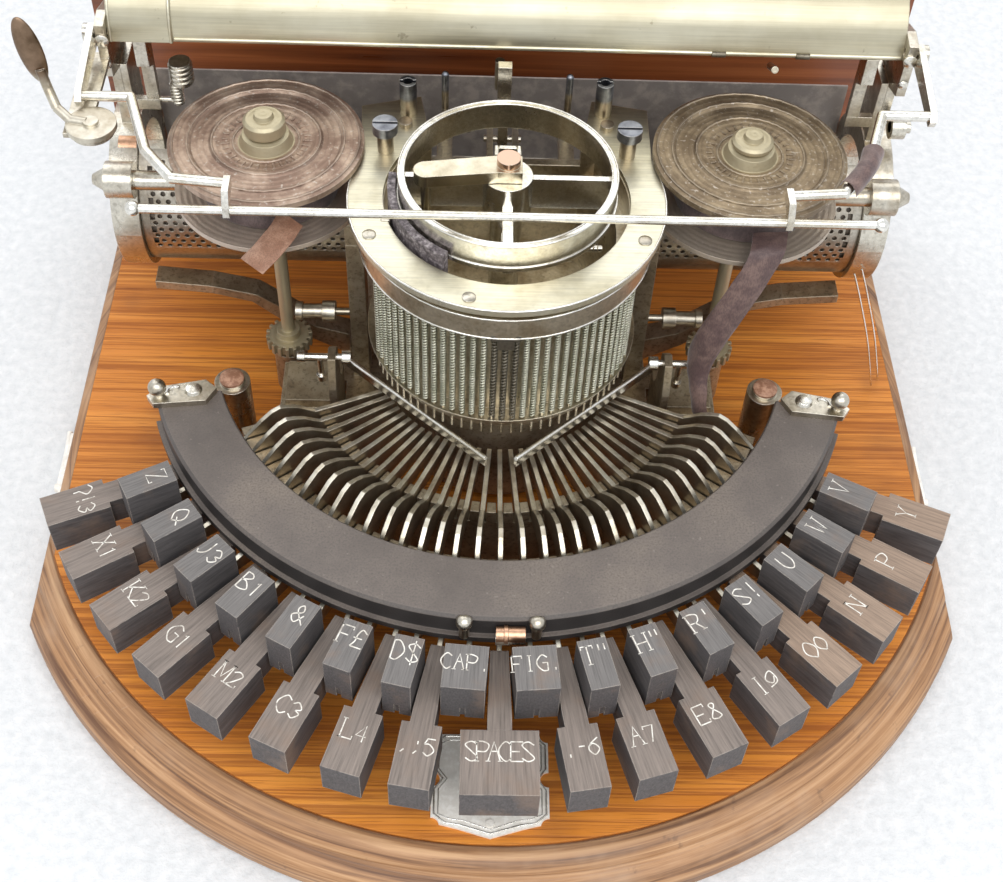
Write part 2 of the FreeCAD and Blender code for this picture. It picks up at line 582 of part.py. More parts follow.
def type_shuttle():
    """Curved type band with its drive arm, pin and pivot."""
    low, high = up(SHUTTLE_LOW), up(SHUTTLE_HIGH)
    band = sector([(SHUTTLE_IN, low), (SHUTTLE_OUT, low), (SHUTTLE_OUT, high), (SHUTTLE_IN, high)],
                  SHUTTLE_HALF_ANGLE)
    band = turned(band, SHUTTLE_AZIMUTH)
    arm = flat([(-3.2, 3.6), (-25, 0.2), (-25, -7.0), (-3.2, -4.2), (4.2, -4.2), (4.2, 3.6)],
               up(ARM_LOW), up(ARM_TOP))
    end = post(3.6, ARM_END[0], ARM_END[1], up(ARM_LOW), up(ARM_TOP))
    drop = post(1.5, ARM_END[0], ARM_END[1], low, up(ARM_LOW + 1))
    link = flat([(-24, -1.6), (-35.5, -5.5), (-35.0, -8.9), (-24, -5.2)], low, up(106.2))
    pivot = post(SHUTTLE_PIN_R, 0, 0, up(110.4), up(ARM_LOW + 1))
    head = post(3.6, 0, 0, up(ARM_TOP), up(127.0))
    return band.fuse([arm, end, drop, link, pivot, head]).removeSplitter()


def hammer():
    """Hammer bar with its head and cross pin."""
    x0, x1 = HAMMER_X - 1.6, HAMMER_X + 1.6
    bar = box(x0, x1, HAMMER_Y - 1.6, HAMMER_Y + 1.6, up(98.5), up(118))
    head = box(x0 - 0.6, x1 + 0.6, HAMMER_Y - 1.8, HAMMER_Y + 1.6, up(117), up(130))
    pin = rod(HAMMER_PIN_R, (HAMMER_X - 6.2, HAMMER_Y, up(HAMMER_H)), (HAMMER_X + 6.2, HAMMER_Y, up(HAMMER_H)))
    return bar.fuse([head, pin]).removeSplitter()


# Spools and ribbon

def gear(x, y):
    """Small spur gear on a spool's shaft, with a collar below and above."""
    disc = post(GEAR_R, x, y, up(GEAR_LOW), up(GEAR_TOP))
    collar = post(4.4, x, y, up(19.3), up(GEAR_LOW)).fuse(post(4.2, x, y, up(GEAR_TOP), up(28.5)))
    tooth = box(x - 0.6, x + 0.6, y + GEAR_R - 0.5, y + GEAR_R + 1.3, up(GEAR_LOW), up(GEAR_TOP))
    teeth = []
    for k in range(GEAR_TEETH):
        one = tooth.copy()
        one.rotate(V(x, y, 0), V(0, 0, 1), k * 360.0 / GEAR_TEETH)
        teeth.append(one)
    bore = post(SHAFT_R, x, y, up(SHAFT_FOOT), up(SPOOL_LOW))
    return disc.fuse(teeth + [collar]).cut(bore)


def spool(side):
    """Ribbon spool: lower flange, core, ridged upper flange with its knob, shaft and gear."""
    x, y = SPOOL_X[side], SPOOL_Y[side]
    knob_top = KNOB_TOP[side]
    under = SPOOL_TOP - 3.2
    profile = [(0, under), (SPOOL_CORE_R, under), (SPOOL_R, SPOOL_TOP - 2.6), (SPOOL_R, SPOOL_TOP - 0.6),
               (SPOOL_R - 1.5, SPOOL_TOP), (24.2, SPOOL_TOP), (23.4, SPOOL_TOP - 0.6), (18.0, SPOOL_TOP - 0.6),
               (17.2, SPOOL_TOP), (16.2, SPOOL_TOP), (9.0, SPOOL_TOP - 0.9), (8.5, SPOOL_TOP - 0.9),
               (8.0, SPOOL_TOP + 0.4), (7.4, SPOOL_TOP + 2.4), (5.2, SPOOL_TOP + 3.0),
               (6.6, SPOOL_TOP + 3.8), (6.6, knob_top - 2.6), (5.6, knob_top - 1.8),
               (3.2, knob_top - 1.6), (2.8, knob_top), (0, knob_top)]
    upper = face_of([(r, 0, up(h)) for r, h in profile]).revolve(V(0, 0, 0), V(0, 0, 1), 360)
    upper.translate(V(x, y, 0))
    lower = post(SPOOL_R, x, y, up(SPOOL_LOW), up(SPOOL_LOW + FLANGE_SHEET))
    core = post(SPOOL_CORE_R, x, y, up(SPOOL_LOW + FLANGE_SHEET), up(under))
    shaft = post(SHAFT_R, x, y, up(SHAFT_FOOT), up(SPOOL_LOW))
    return [upper, lower, core, shaft, gear(x, y)]


def ribbon_strip(stations, thick=0.6):
    """Ribbon through (x, y, h, half width, facing angle) stations."""
    sections = []
    for x, y, h, half, facing, lean in stations:
        a = math.radians(facing)
        wide = V(math.cos(a), math.sin(a), 0) * half
        b = math.radians(lean)
        deep = V(math.sin(a) * math.cos(b), -math.cos(a) * math.cos(b), math.sin(b)) * (thick / 2)
        c = V(x, y, up(h))
        sections.append(Part.makePolygon([c + wide + deep, c - wide + deep, c - wide - deep,
                                          c + wide - deep, c + wide + deep]))
    strip = Part.makeLoft(sections, True, True)
    return strip if strip.Volume > 0 else strip.reversed()


def ribbons():
    """Hanging ribbon end on the right and the short torn end on the left."""
    right = ribbon_strip([
        (83, -4, 104, 5.6, 5, 90), (81, -12.5, 103, 5.6, 5, 70), (79, -15.2, 97, 5.6, 5, 20),
        (74, -17, 84, 5.2, -5, 8), (67.5, -18.5, 68, 4.4, -20, 4), (64, -18, 54, 3.6, -45, 0),
        (64.5, -20.5, 44, 3.0, -65, 0), (66.5, -21.5, 34, 2.6, -75, 0)])
    left = ribbon_strip([
        (-66, -3, 104.5, 4.4, -42, 90), (-71, -12.5, 102.5, 4.2, -42, 78), (-79, -17.5, 96, 4.0, -42, 55)])
    return [right, left]


# Carriage

def apart(shapes):
    """Abutting solids: each one without the parts it shares with those before it."""
    pieces = []
    for shape in shapes:
        rest = shape.cut(pieces) if pieces else shape
        pieces += [solid for solid in rest.Solids if solid.Volume > SLIVER]
    return pieces


def end_ring():
    """Ring round the basket's left end, as equal segments."""
    x0, x1 = -END_OUTER, -BASKET_HALF - 0.2
    inner, outer, reach = END_RING_IN, END_RING_R, END_RING_R / math.cos(math.pi / RING_PARTS) + 1
    disc = rod(outer, (x0, BASKET_Y, up(BASKET_H)), (x1, BASKET_Y, up(BASKET_H)))
    hoop = disc.cut(rod(inner, (x0 - 1, BASKET_Y, up(BASKET_H)), (x1 + 1, BASKET_Y, up(BASKET_H))))
    parts = []
    for k in range(RING_PARTS):
        a, b = (2 * math.pi * n / RING_PARTS for n in (k, k + 1))
        wedge = [(BASKET_Y, up(BASKET_H))]
        wedge += [(BASKET_Y + reach * math.cos(t), up(BASKET_H) + reach * math.sin(t)) for t in (a, b)]
        parts.append(hoop.common(wall(wedge, x0, x1)))
    return parts


def carriage_end():
    """Left end casting: ring round the basket, upright, and the bosses for tube and rod."""
    x0, x1 = -END_OUTER, -BASKET_HALF - 0.2
    boss = rod(6.2, (x0, TUBE_Y, up(TUBE_H)), (x1, TUBE_Y, up(TUBE_H)))
    rear = rod(5.0, (x0 + 2, ROD_Y, up(ROD_H)), (x1, ROD_Y, up(ROD_H)))
    rib = box(x0 + 2, x1, 82, ROD_Y, up(56.5), up(63.5))
    lower = wall([(52, up(86)), (52, up(117)), (65, up(117)), (66, up(110)), (70, up(88))], -129, -TOP_HALF)
    upper = wall([(52, up(117)), (43, up(120)), (43, up(139)), (50, up(140)), (62, up(136)), (65, up(117))],
                 -129, -TOP_HALF)
    inner = box(-TOP_HALF, -123.6, 52, 66, up(88), up(118))
    strap = box(-TOP_HALF, -INNER_BAR, 52, 54.5, up(100), up(104))
    bar = box(-INNER_BAR - 4, -INNER_BAR, 52, 54.5, up(100), up(118))
    bar_top = wall([(52, up(118)), (54.5, up(118)), (54.5, up(130.8)), (47, up(130.8)), (47, up(121))],
                   -INNER_BAR - 4, -INNER_BAR)
    return end_ring() + [boss, rear, rib, lower, upper, inner, strap, bar, bar_top]


def lever_shelf():
    """Bracket on the left end that carries the line-space lever."""
    plate = box(-134, -126.2, 6, 46, up(SHELF_LOW), up(SHELF_TOP))
    tongue = box(-129, -TOP_HALF, 40, 46, up(SHELF_LOW), up(SHELF_TOP))
    return [plate, tongue, post(6.5, LEVER_X, LEVER_Y, up(SHELF_LOW), up(SHELF_TOP))]


def carriage_frame():
    """Two end castings with the long front tube and the rear rod."""
    tube = rod(TUBE_R, (-133, TUBE_Y, up(TUBE_H)), (133, TUBE_Y, up(TUBE_H)))
    tip = Part.makeCone(TUBE_R + 0.8, 1.8, 4.0, V(133, TUBE_Y, up(TUBE_H)), V(1, 0, 0))
    rear = rod(ROD_R, (-128, ROD_Y, up(ROD_H)), (128, ROD_Y, up(ROD_H)))
    left = carriage_end()
    pieces = [tube, tip, mirrored(tip), rear] + left + [mirrored(piece) for piece in left] + lever_shelf()
    bores = [rod(1.5 + FIT, (-140, ROLLER_Y, up(ROLLER_H)), (140, ROLLER_Y, up(ROLLER_H)))]
    bores += [rod(1.5 + FIT, (x, BAIL_PIVOT_Y, up(BAIL_PIVOT_H)), (x + 10, BAIL_PIVOT_Y, up(BAIL_PIVOT_H)))
              for x in (-134, 124)]
    bores.append(post(1.5 + FIT, LEVER_X, LEVER_Y, up(SHELF_LOW - 2), up(SHELF_TOP + 2)))
    return [piece.cut(bores) for piece in apart(pieces)]


def arc_shell(y, h, r, thick, start, end, x0, x1):
    """Rolled sheet about an axis along X, from one angle to another counted from +Y."""
    def at(radius, degrees):
        a = math.radians(degrees)
        return V(x0, y + radius * math.cos(a), up(h) + radius * math.sin(a))
    middle = (start + end) / 2.0
    outer = Part.Arc(at(r, start), at(r, middle), at(r, end)).toShape()
    inner = Part.Arc(at(r - thick, end), at(r - thick, middle), at(r - thick, start)).toShape()
    sides = [Part.makeLine(at(r, end), at(r - thick, end)), Part.makeLine(at(r - thick, start), at(r, start))]
    face = Part.Face(Part.Wire([outer, sides[0], inner, sides[1]]))
    return face.extrude(V(x1 - x0, 0, 0))


def paper_basket():
    """Rolled paper basket, open along its top, its rear rising straight."""
    roll = arc_shell(BASKET_Y, BASKET_H, BASKET_R, BASKET_SHEET, 117, 360, -BASKET_HALF, BASKET_HALF)
    rear = BASKET_Y + BASKET_R
    back = box(-BASKET_HALF, BASKET_HALF, rear - BASKET_SHEET, rear, up(BASKET_H), up(BASKET_REAR_TOP))
    return roll.fuse(back).removeSplitter()


def top_cover():
    """Half-round cover over the carriage with its closed ends and the left cap band."""
    shell = arc_shell(COVER_AXIS_Y, COVER_AXIS_H, COVER_ROUND, 1.2, 0, 180, -TOP_HALF, TOP_HALF)
    disc = rod(COVER_ROUND, (-TOP_HALF, COVER_AXIS_Y, up(COVER_AXIS_H)),
               (-TOP_HALF + 1.5, COVER_AXIS_Y, up(COVER_AXIS_H)))
    disc = disc.common(box(-200, 200, 0, 200, up(COVER_AXIS_H), 300))
    cap = arc_shell(COVER_AXIS_Y, COVER_AXIS_H, COVER_ROUND + 0.8, 1.0, 0, 180, -TOP_HALF, -106)
    return shell.fuse([disc, mirrored(disc), cap]).removeSplitter()


def feed_roller():
    """Feed roller under the cover's front edge."""
    body = rod(ROLLER_R, (-114, ROLLER_Y, up(ROLLER_H)), (114, ROLLER_Y, up(ROLLER_H)))
    axle = rod(1.5, (-129.5, ROLLER_Y, up(ROLLER_H)), (129.5, ROLLER_Y, up(ROLLER_H)))
    return body.fuse(axle)


def bail():
    """Front rod with its clips, bent arms, side bars and pivots."""
    half = []
    pivot = rod(1.5, (-131.6, BAIL_PIVOT_Y, up(BAIL_PIVOT_H)), (-126.2, BAIL_PIVOT_Y, up(BAIL_PIVOT_H)))
    screw = rod(2.8, (-133.2, BAIL_PIVOT_Y, up(BAIL_PIVOT_H)), (-131.4, BAIL_PIVOT_Y, up(BAIL_PIVOT_H)))
    bar = wall([(17, up(128.6)), (16, up(131)), (18, up(133.4)), (46, up(138)), (49.5, up(134.5)),
                (46, up(131.2))], -131.5, -129.4)
    arm = bent_rod(1.6, [(-130.4, 19, 131), (-115, 19, 131), (-107, -5.5, 131), (-98, -17.3, 131),
                         (-81.5, -19, 131)])
    arm.translate(V(0, 0, BOARD_TOP))
    clip = wall([(-17.3, up(129)), (-17.3, up(132.6)), (-24, up(132.6)), (-26.6, up(128)), (-26.6, up(124.4)),
                 (-23.4, up(124.4)), (-22.5, up(128))], -82.6, -80.6)
    half += [pivot, screw, bar, arm, clip]
    front = rod(1.35, (-BAIL_HALF, BAIL_ROD_Y, up(BAIL_ROD_H)), (BAIL_HALF, BAIL_ROD_Y, up(BAIL_ROD_H)))
    knob = ball(2.2, (-BAIL_HALF, BAIL_ROD_Y, up(BAIL_ROD_H)))
    whole = front.fuse([knob, mirrored(knob)])
    for piece in half:
        whole = whole.fuse([piece, mirrored(piece)])
    return whole.removeSplitter()


def line_space_lever():
    """Spoon-handled lever on its pivot beside the carriage: foot, bent stem in two lengths, and spoon."""
    base = post(7.6, LEVER_X, LEVER_Y, up(SHELF_TOP + 0.2), up(SHELF_TOP + 2))
    pin = post(1.5, LEVER_X, LEVER_Y, up(SHELF_LOW - 1), up(SHELF_TOP + 0.4))
    head = post(2.4, LEVER_X, LEVER_Y, up(SHELF_TOP + 2), up(SHELF_TOP + 3))
    path = [(-127, 9, 128.9), (-132, 10, 128.9), (-136.2, 13, 131), (-138.4, 16, 136), (-139.6, 17, 142)]
    lengths = [bent_rod(1.5, path[:3]), bent_rod(1.5, path[2:])]
    for length in lengths:
        length.translate(V(0, 0, BOARD_TOP))
    spoon = Part.makeSphere(1.0)
    stretch = FreeCAD.Matrix()
    stretch.scale(3.8, 1.7, 11.5)
    spoon = spoon.transformGeometry(stretch)
    spoon.rotate(V(0, 0, 0), V(0, 1, 0), -8)
    spoon.translate(V(-141.4, 17.8, up(148)))
    return apart([base.fuse([pin, head]), spoon, lengths[1], lengths[0]])


def main():
    os.makedirs("parts", exist_ok=True)
    save("base_board", [board()])
    save("base_rim", [moulding()])
    save("back_board", [back_panel()])
    save("base_fittings", [shield_plate()] + both(latch()))
    save("main_frame", main_frame())
    made = keys()
    save("lever_comb", lever_comb([azimuth for name, azimuth, shapes in made]))
    for name, azimuth, shapes in made:
        save("key_" + name, [turned(s, azimuth) for s in shapes])
    save("key_cover", [key_cover()])
    save("cover_fittings", cover_fittings())
    save("universal_bar_left", [universal_bar()])
    save("universal_bar_right", [mirrored(universal_bar())])
    save("drum_core", [drum_core()])
    save("drum_plate", [drum_plate()])
    save("drum_springs", drum_springs())
    save("stop_pins", stop_pins())
    save("plate_fittings", plate_fittings())
    save("anvil_ring", anvil_ring())
    save("type_shuttle", [type_shuttle()])
    save("hammer", [hammer()])
    save("spool_left", spool("left"))
    save("spool_right", spool("right"))
    save("ribbon_tails", ribbons())
    save("carriage_frame", carriage_frame())
    save("paper_basket", [paper_basket()])
    save("top_cover", [top_cover()])
    save("feed_roller", [feed_roller()])
    save("bail", [bail()])
    save("line_space_lever", line_space_lever())


main()
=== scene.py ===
"""Curved-keyboard typewriter dressed for the photograph's view, in metres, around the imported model."""
import json
import math
import random
import bmesh
import bpy
from mathutils import Matrix, Vector


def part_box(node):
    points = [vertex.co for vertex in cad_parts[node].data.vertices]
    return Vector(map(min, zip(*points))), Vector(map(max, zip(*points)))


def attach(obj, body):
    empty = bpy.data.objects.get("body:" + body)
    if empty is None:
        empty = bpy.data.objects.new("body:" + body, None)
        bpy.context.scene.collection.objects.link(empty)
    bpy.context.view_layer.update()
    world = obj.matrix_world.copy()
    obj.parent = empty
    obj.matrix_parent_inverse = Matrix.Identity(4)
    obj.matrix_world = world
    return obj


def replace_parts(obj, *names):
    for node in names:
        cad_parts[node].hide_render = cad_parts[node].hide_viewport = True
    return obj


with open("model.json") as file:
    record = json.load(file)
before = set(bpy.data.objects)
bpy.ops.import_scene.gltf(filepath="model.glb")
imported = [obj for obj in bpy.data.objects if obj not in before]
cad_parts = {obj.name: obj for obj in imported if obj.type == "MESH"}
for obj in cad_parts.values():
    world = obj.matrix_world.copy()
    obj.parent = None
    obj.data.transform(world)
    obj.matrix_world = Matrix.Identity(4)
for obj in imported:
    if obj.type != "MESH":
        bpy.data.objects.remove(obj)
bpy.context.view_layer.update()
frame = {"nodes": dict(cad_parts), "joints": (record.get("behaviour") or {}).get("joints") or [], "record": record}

# Millimetres, degrees and heights above the board's top, where nothing else is said
MM = 0.001
BOARD_TOP = 20.0
UP = (0, 0, 1)

# Drum: stop springs, guide ring, top plate and cross rod
SPRING_RING, SPRING_PITCH, SPRING_R = 43.2, 4.3, 1.1
SPRING_LOW, SPRING_HIGH = 57.0, 97.0
SPRINGS_PER_SIDE, OPEN_SPRINGS_PER_SIDE = 16, 1
CLOSE_TURNS, OPEN_TURNS = 33, 28
CLOSE_WIRE, OPEN_WIRE = 0.33, 0.25
RING_IN, RING_OUT, RING_TOP = 31.5, 33.6, 121.8
PLATE_TOP = 111.6
PLATE_SCREWS = ((-41.5, -18.5), (41.5, -18.5), (-11.3, -43.8))
BRACKET_REAR, BRACKET_TOP = 13.5, 120.5
ROD_Y, ROD_H = -9.0, 99.0
THREAD_FROM, THREAD_PITCH, THREAD_TURNS = -29.0, 1.25, 47

# Keys and their legends; keys are browner from an azimuth on
KEY_HEAD_R, FRONT_KEY_TOP, BROWN_FROM = 118.6, 30.3, 40.0
FRONT_LEGEND_R, BACK_LEGEND_R = 149.5, 127.0
STROKE, SERIF, LEGEND_SINK, LEGEND_RISE = 0.38, 0.22, 0.05, 0.04
LETTER_TALL, LONG_BACK_TALL, DIGIT_SHARE = 6.2, 5.2, 0.86
COLUMN_SHARE, SERIF_REACH = 0.86, 0.7

# Key cover, and the shield's outline: half width, place along Y and the way its border moves in
SLEEVE_Y, SLEEVE_H = -113.2, 40.2
SHIELD_X, SHIELD_TIP, BORDER_H = -2.0, -159.4, 0.95
SHIELD_HALF = ((14.6, -126.0, -1), (17.8, -129.4, 0), (17.8, -137.6, 0), (15.2, -141.0, 0),
               (17.8, -144.4, 0), (17.8, -152.4, 0), (14.4, -156.0, 1), (10.0, -156.6, 1))

# Carriage: paper basket, top cover, tube and small fittings
BASKET_Y, BASKET_H, BASKET_R, BASKET_SHEET = 57.0, 65.0, 27.5, 0.8
BASKET_FROM, BASKET_REAR_FROM, BASKET_REAR_TOP, BASKET_MARGIN = 117.0, 300.0, 92.5, 3.0
HOLES_FROM, HOLES_TO, HOLE_PITCH, HOLE_R, ROW_SHARE = 124.0, 196.0, 3.3, 0.85, 0.82
COVER_Y, COVER_H, COVER_R = 68.0, 131.0, 21.0
TUBE_Y, TUBE_H, COLLAR_R = 32.5, 86.0, 4.3
ROLLER_Y, ROLLER_H, ROLLER_R = 46.5, 88.6, 4.2
KNOB_X, KNOB_STEM_X, KNOB_Y, KNOB_H = -107.0, -109.4, 54.8, 109.5
THUMB_Y, THUMB_H = 48.0, 103.5
END_SCREW_X, END_SCREW_Y = 127.4, 42.9
FEED_WIRES, FEED_WIRE_R = ((124.0, 25.0), (127.0, 27.5)), 0.35

# Ribbon and spools
RIBBON_THICK, RIBBON_WIDE, RIBBON_LEFT_WIDE = 0.3, 11.2, 10.2
RIBBON_STEPS, RIBBON_ACROSS = 8, 10
WINDING_IN, WINDING_OUT, WINDING_LOW, WINDING_HIGH, WINDING_EDGE = 12.2, 22.0, 97.2, 111.4, 0.35
SPOOL_TOP, TICKS, TICK_RING, TICK_HALF, TICK_RISE = 115.0, 34, 13.0, 0.28, 0.62
SPOOL_RIDGES = ((29.3, 0.0, 0.45), (24.6, 0.05, 0.4), (17.0, 0.05, 0.4), (10.4, -0.7, 0.4))

# Camera, fitted to the photograph: place, angles, focal length and width in pixels
CAMERA_AT = (-12.94, -338.27, 412.84)
CAMERA_PITCH, CAMERA_YAW, CAMERA_ROLL = 51.2459, 2.5773, 3.0656
FOCAL_PIXELS, PHOTO_WIDTH, SENSOR = 1450.0, 1003.0, 36.0

# Lamps and floor in metres and watts: name, place, size, power
LAMPS = (("front_panel", (0.1, -1.0, 1.35), (2.0, 1.2), 21.0),
         ("rear_panel", (-0.2, 1.0, 1.3), (2.1, 1.35), 10.0))
LAMP_TARGET = (0, 0, 0.08)
SKY, SKY_STRENGTH = (0.93, 0.96, 1.0, 1.0), 0.98
FLOOR_HALF = 3.0


def at(x, y, h):
    """Point from millimetres, its height above the board's top."""
    return Vector((x, y, h + BOARD_TOP)) * MM


def around(x, y, h, radius, angle):
    """Point at an angle about an upright line."""
    return at(x + radius * math.cos(angle), y + radius * math.sin(angle), h)


def spool_centre(side):
    """Place of a spool's axis, in metres."""
    low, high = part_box("spool_" + side)
    return (low.x + high.x) / 2, (low.y + high.y) / 2


# Node materials

PAINTS = {}


def shaded(colour, factor):
    return tuple(min(1.0, factor * c) for c in colour)


class Paint:
    """One node material, kept in PAINTS by name, with short calls that add and join its nodes."""

    def __init__(self, name):
        material = bpy.data.materials.new(name)
        material.use_nodes = True
        PAINTS[name] = material
        self.tree = material.node_tree
        self.shader = self.tree.nodes["Principled BSDF"]
        self.place = self.add("ShaderNodeTexCoord").outputs["Object"]

    def add(self, kind, settings=None, inputs=None):
        node = self.tree.nodes.new(kind)
        for key, value in (settings or {}).items():
            setattr(node, key, value)
        for key, value in (inputs or {}).items():
            self.put(node.inputs[key], value)
        return node

    def put(self, socket, value):
        if isinstance(value, bpy.types.NodeSocket):
            self.tree.links.new(value, socket)
        elif isinstance(value, tuple) and len(value) == 3 and len(socket.default_value) == 4:
            socket.default_value = (*value, 1.0)
        else:
            socket.default_value = value

    def noise(self, scale, detail=4.0, rough=0.55, where=None, twist=0.0):
        where = self.place if where is None else where
        node = self.add("ShaderNodeTexNoise", None, {
            "Vector": where, "Scale": scale, "Detail": detail, "Roughness": rough, "Distortion": twist})
        return node.outputs["Fac"]

    def streaks(self, detail, rough, scales, twist=0.0):
        """Noise with its own scale per axis."""
        where = self.add("ShaderNodeMapping", None, {"Vector": self.place, "Scale": scales}).outputs[0]
        return self.noise(1.0, detail, rough, where, twist)

    def math(self, operation, a, b=0.0, c=0.0):
        node = self.add("ShaderNodeMath", {"operation": operation})
        for socket, value in zip(node.inputs, (a, b, c)):
            self.put(socket, value)
        return node.outputs[0]

    def linear(self, value, slope, base):
        return self.math("MULTIPLY_ADD", value, slope, base)

    def step(self, value, low, high):
        """0 below low, 1 above high and smooth between."""
        node = self.add("ShaderNodeMapRange", {"interpolation_type": "SMOOTHSTEP"}, {
            "Value": value, "From Min": low, "From Max": high})
        return node.outputs[0]

    def spots(self, scale, detail, rough, low, high):
        return self.step(self.noise(scale, detail, rough), low, high)

    def ramp(self, value, *stops):
        node = self.add("ShaderNodeValToRGB", None, {"Fac": value})
        elements = node.color_ramp.elements
        while len(elements) < len(stops):
            elements.new(0.5)
        for element, (place, colour) in zip(elements, stops):
            element.position = place
            element.color = (*colour, 1.0)
        return node.outputs[0]

    def mix(self, factor, a, b, blend="MIX"):
        node = self.add("ShaderNodeMix", {"data_type": "RGBA", "blend_type": blend})
        self.put(node.inputs["Factor"], factor)
        self.put(node.inputs[6], a)
        self.put(node.inputs[7], b)
        return node.outputs[2]

    def over(self, base, mask, share, colour):
        """Base with a share of a colour laid over it where the mask is 1."""
        return self.mix(self.math("MULTIPLY", mask, share), base, colour)

    def brushed(self, base, marks, dark, light):
        """Base made darker and lighter by brush marks."""
        shade = self.ramp(marks, (0.25, (dark,) * 3), (0.75, (light,) * 3))
        return self.mix(1.0, base, shade, "MULTIPLY")

    def axis(self, name, vector=None):
        node = self.add("ShaderNodeSeparateXYZ", None, {"Vector": self.place if vector is None else vector})
        return node.outputs[name]

    def radius(self, centre=(0.0, 0.0)):
        """Distance in metres from an upright line."""
        squares = []
        for name, middle in zip("XY", centre):
            away = self.math("SUBTRACT", self.axis(name), middle)
            squares.append(self.math("MULTIPLY", away, away))
        return self.math("SQRT", self.math("ADD", *squares))

    def polar(self, along, across, above):
        """Scaled coordinates along, across and above circles about the drum's axis."""
        azimuth = self.math("ARCTAN2", self.axis("X"), self.math("MULTIPLY", self.axis("Y"), -1.0))
        return self.add("ShaderNodeCombineXYZ", None, {
            "X": self.math("MULTIPLY", azimuth, along), "Y": self.math("MULTIPLY", self.radius(), across),
            "Z": self.math("MULTIPLY", self.axis("Z"), above)}).outputs[0]

    def upward(self, low, high):
        """1 where the surface faces up."""
        return self.step(self.axis("Z", self.add("ShaderNodeTexCoord").outputs["Normal"]), low, high)

    def edges(self, radius):
        """1 along convex and concave edges, 0 on flats, with the rounded normal."""
        bevel = self.add("ShaderNodeBevel", {"samples": 4}, {"Radius": radius * MM})
        true = self.add("ShaderNodeNewGeometry").outputs["True Normal"]
        dot = self.add("ShaderNodeVectorMath", {"operation": "DOT_PRODUCT"})
        self.tree.links.new(bevel.outputs[0], dot.inputs[0])
        self.tree.links.new(true, dot.inputs[1])
        return self.step(dot.outputs["Value"], 0.995, 0.86), bevel.outputs[0]

    def edged(self, base, radius, share, colour):
        """Base with a share of a colour on its edges, and the rounded normal."""
        edge, soft = self.edges(radius)
        return self.over(base, edge, share, colour), soft

    def finish(self, colour, rough, metal=0.0, height=None, depth=0.1, normal=None, **constants):
        """The shader's links and values; depth is the bump's, in millimetres."""
        inputs = self.shader.inputs
        self.put(inputs["Base Color"], colour)
        self.put(inputs["Roughness"], rough)
        self.put(inputs["Metallic"], metal)
        if height is not None:
            bump = self.add("ShaderNodeBump", None, {
                "Height": height, "Strength": 1.0, "Distance": depth * MM})
            if normal is not None:
                self.tree.links.new(normal, bump.inputs["Normal"])
            normal = bump.outputs[0]
        if normal is not None:
            self.tree.links.new(normal, inputs["Normal"])
        for name, value in constants.items():
            inputs[name.replace("_", " ")].default_value = value


def oak():
    """Oiled orange oak with dark grain lines along X."""
    p = Paint("oak")
    lines = p.streaks(5.0, 0.62, (11.0, 760.0, 620.0), 0.35)
    broad = p.streaks(3.0, 0.5, (5.0, 70.0, 70.0), 0.6)
    pores = p.step(p.streaks(2.0, 0.5, (60.0, 2200.0, 2200.0)), 0.56, 0.7)
    stain = p.spots(22.0, 3.0, 0.5, 0.6, 0.78)
    dark = p.ramp(lines, (0.44, (0.0, 0.0, 0.0)), (0.6, (1.0, 1.0, 1.0)))
    base = p.ramp(broad, (0.3, (0.52, 0.165, 0.02)), (0.55, (0.66, 0.235, 0.034)),
                  (0.75, (0.76, 0.31, 0.055)))
    base = p.over(base, dark, 0.66, (0.26, 0.068, 0.012))
    base = p.over(base, pores, 0.45, (0.14, 0.035, 0.008))
    base = p.over(base, stain, 0.35, (0.16, 0.055, 0.018))
    soft = p.edges(0.6)[1]
    height = p.math("SUBTRACT", 1.0, dark)
    p.finish(base, p.linear(dark, 0.18, 0.42), 0.0, height, 0.06, soft, Specular_IOR_Level=0.3)


def moulding():
    """Worn dark oak moulding, pale where it is rubbed."""
    p = Paint("moulding")
    lines = p.noise(1.0, 5.0, 0.6, p.polar(2.2, 420.0, 520.0), 0.4)
    rubbed = p.spots(14.0, 5.0, 0.62, 0.48, 0.72)
    spots = p.spots(160.0, 3.0, 0.6, 0.66, 0.74)
    base = p.ramp(lines, (0.35, (0.13, 0.056, 0.024)), (0.52, (0.36, 0.185, 0.082)),
                  (0.7, (0.56, 0.33, 0.17)))
    base = p.over(base, rubbed, 0.55, (0.5, 0.34, 0.22))
    base = p.over(base, spots, 0.35, (0.08, 0.042, 0.026))
    base, soft = p.edged(base, 1.0, 0.4, (0.46, 0.33, 0.24))
    p.finish(base, p.linear(lines, 0.3, 0.35), 0.0, lines, 0.12, soft)


def red_wood():
    """Polished reddish back board."""
    p = Paint("red_wood")
    lines = p.streaks(4.0, 0.6, (6.0, 240.0, 240.0), 0.4)
    base = p.ramp(lines, (0.3, (0.115, 0.03, 0.01)), (0.55, (0.245, 0.07, 0.021)),
                  (0.78, (0.37, 0.13, 0.042)))
    soft = p.edges(0.8)[1]
    p.finish(base, p.linear(lines, 0.2, 0.22), 0.0, lines, 0.05, soft, Coat_Weight=0.4, Coat_Roughness=0.15)


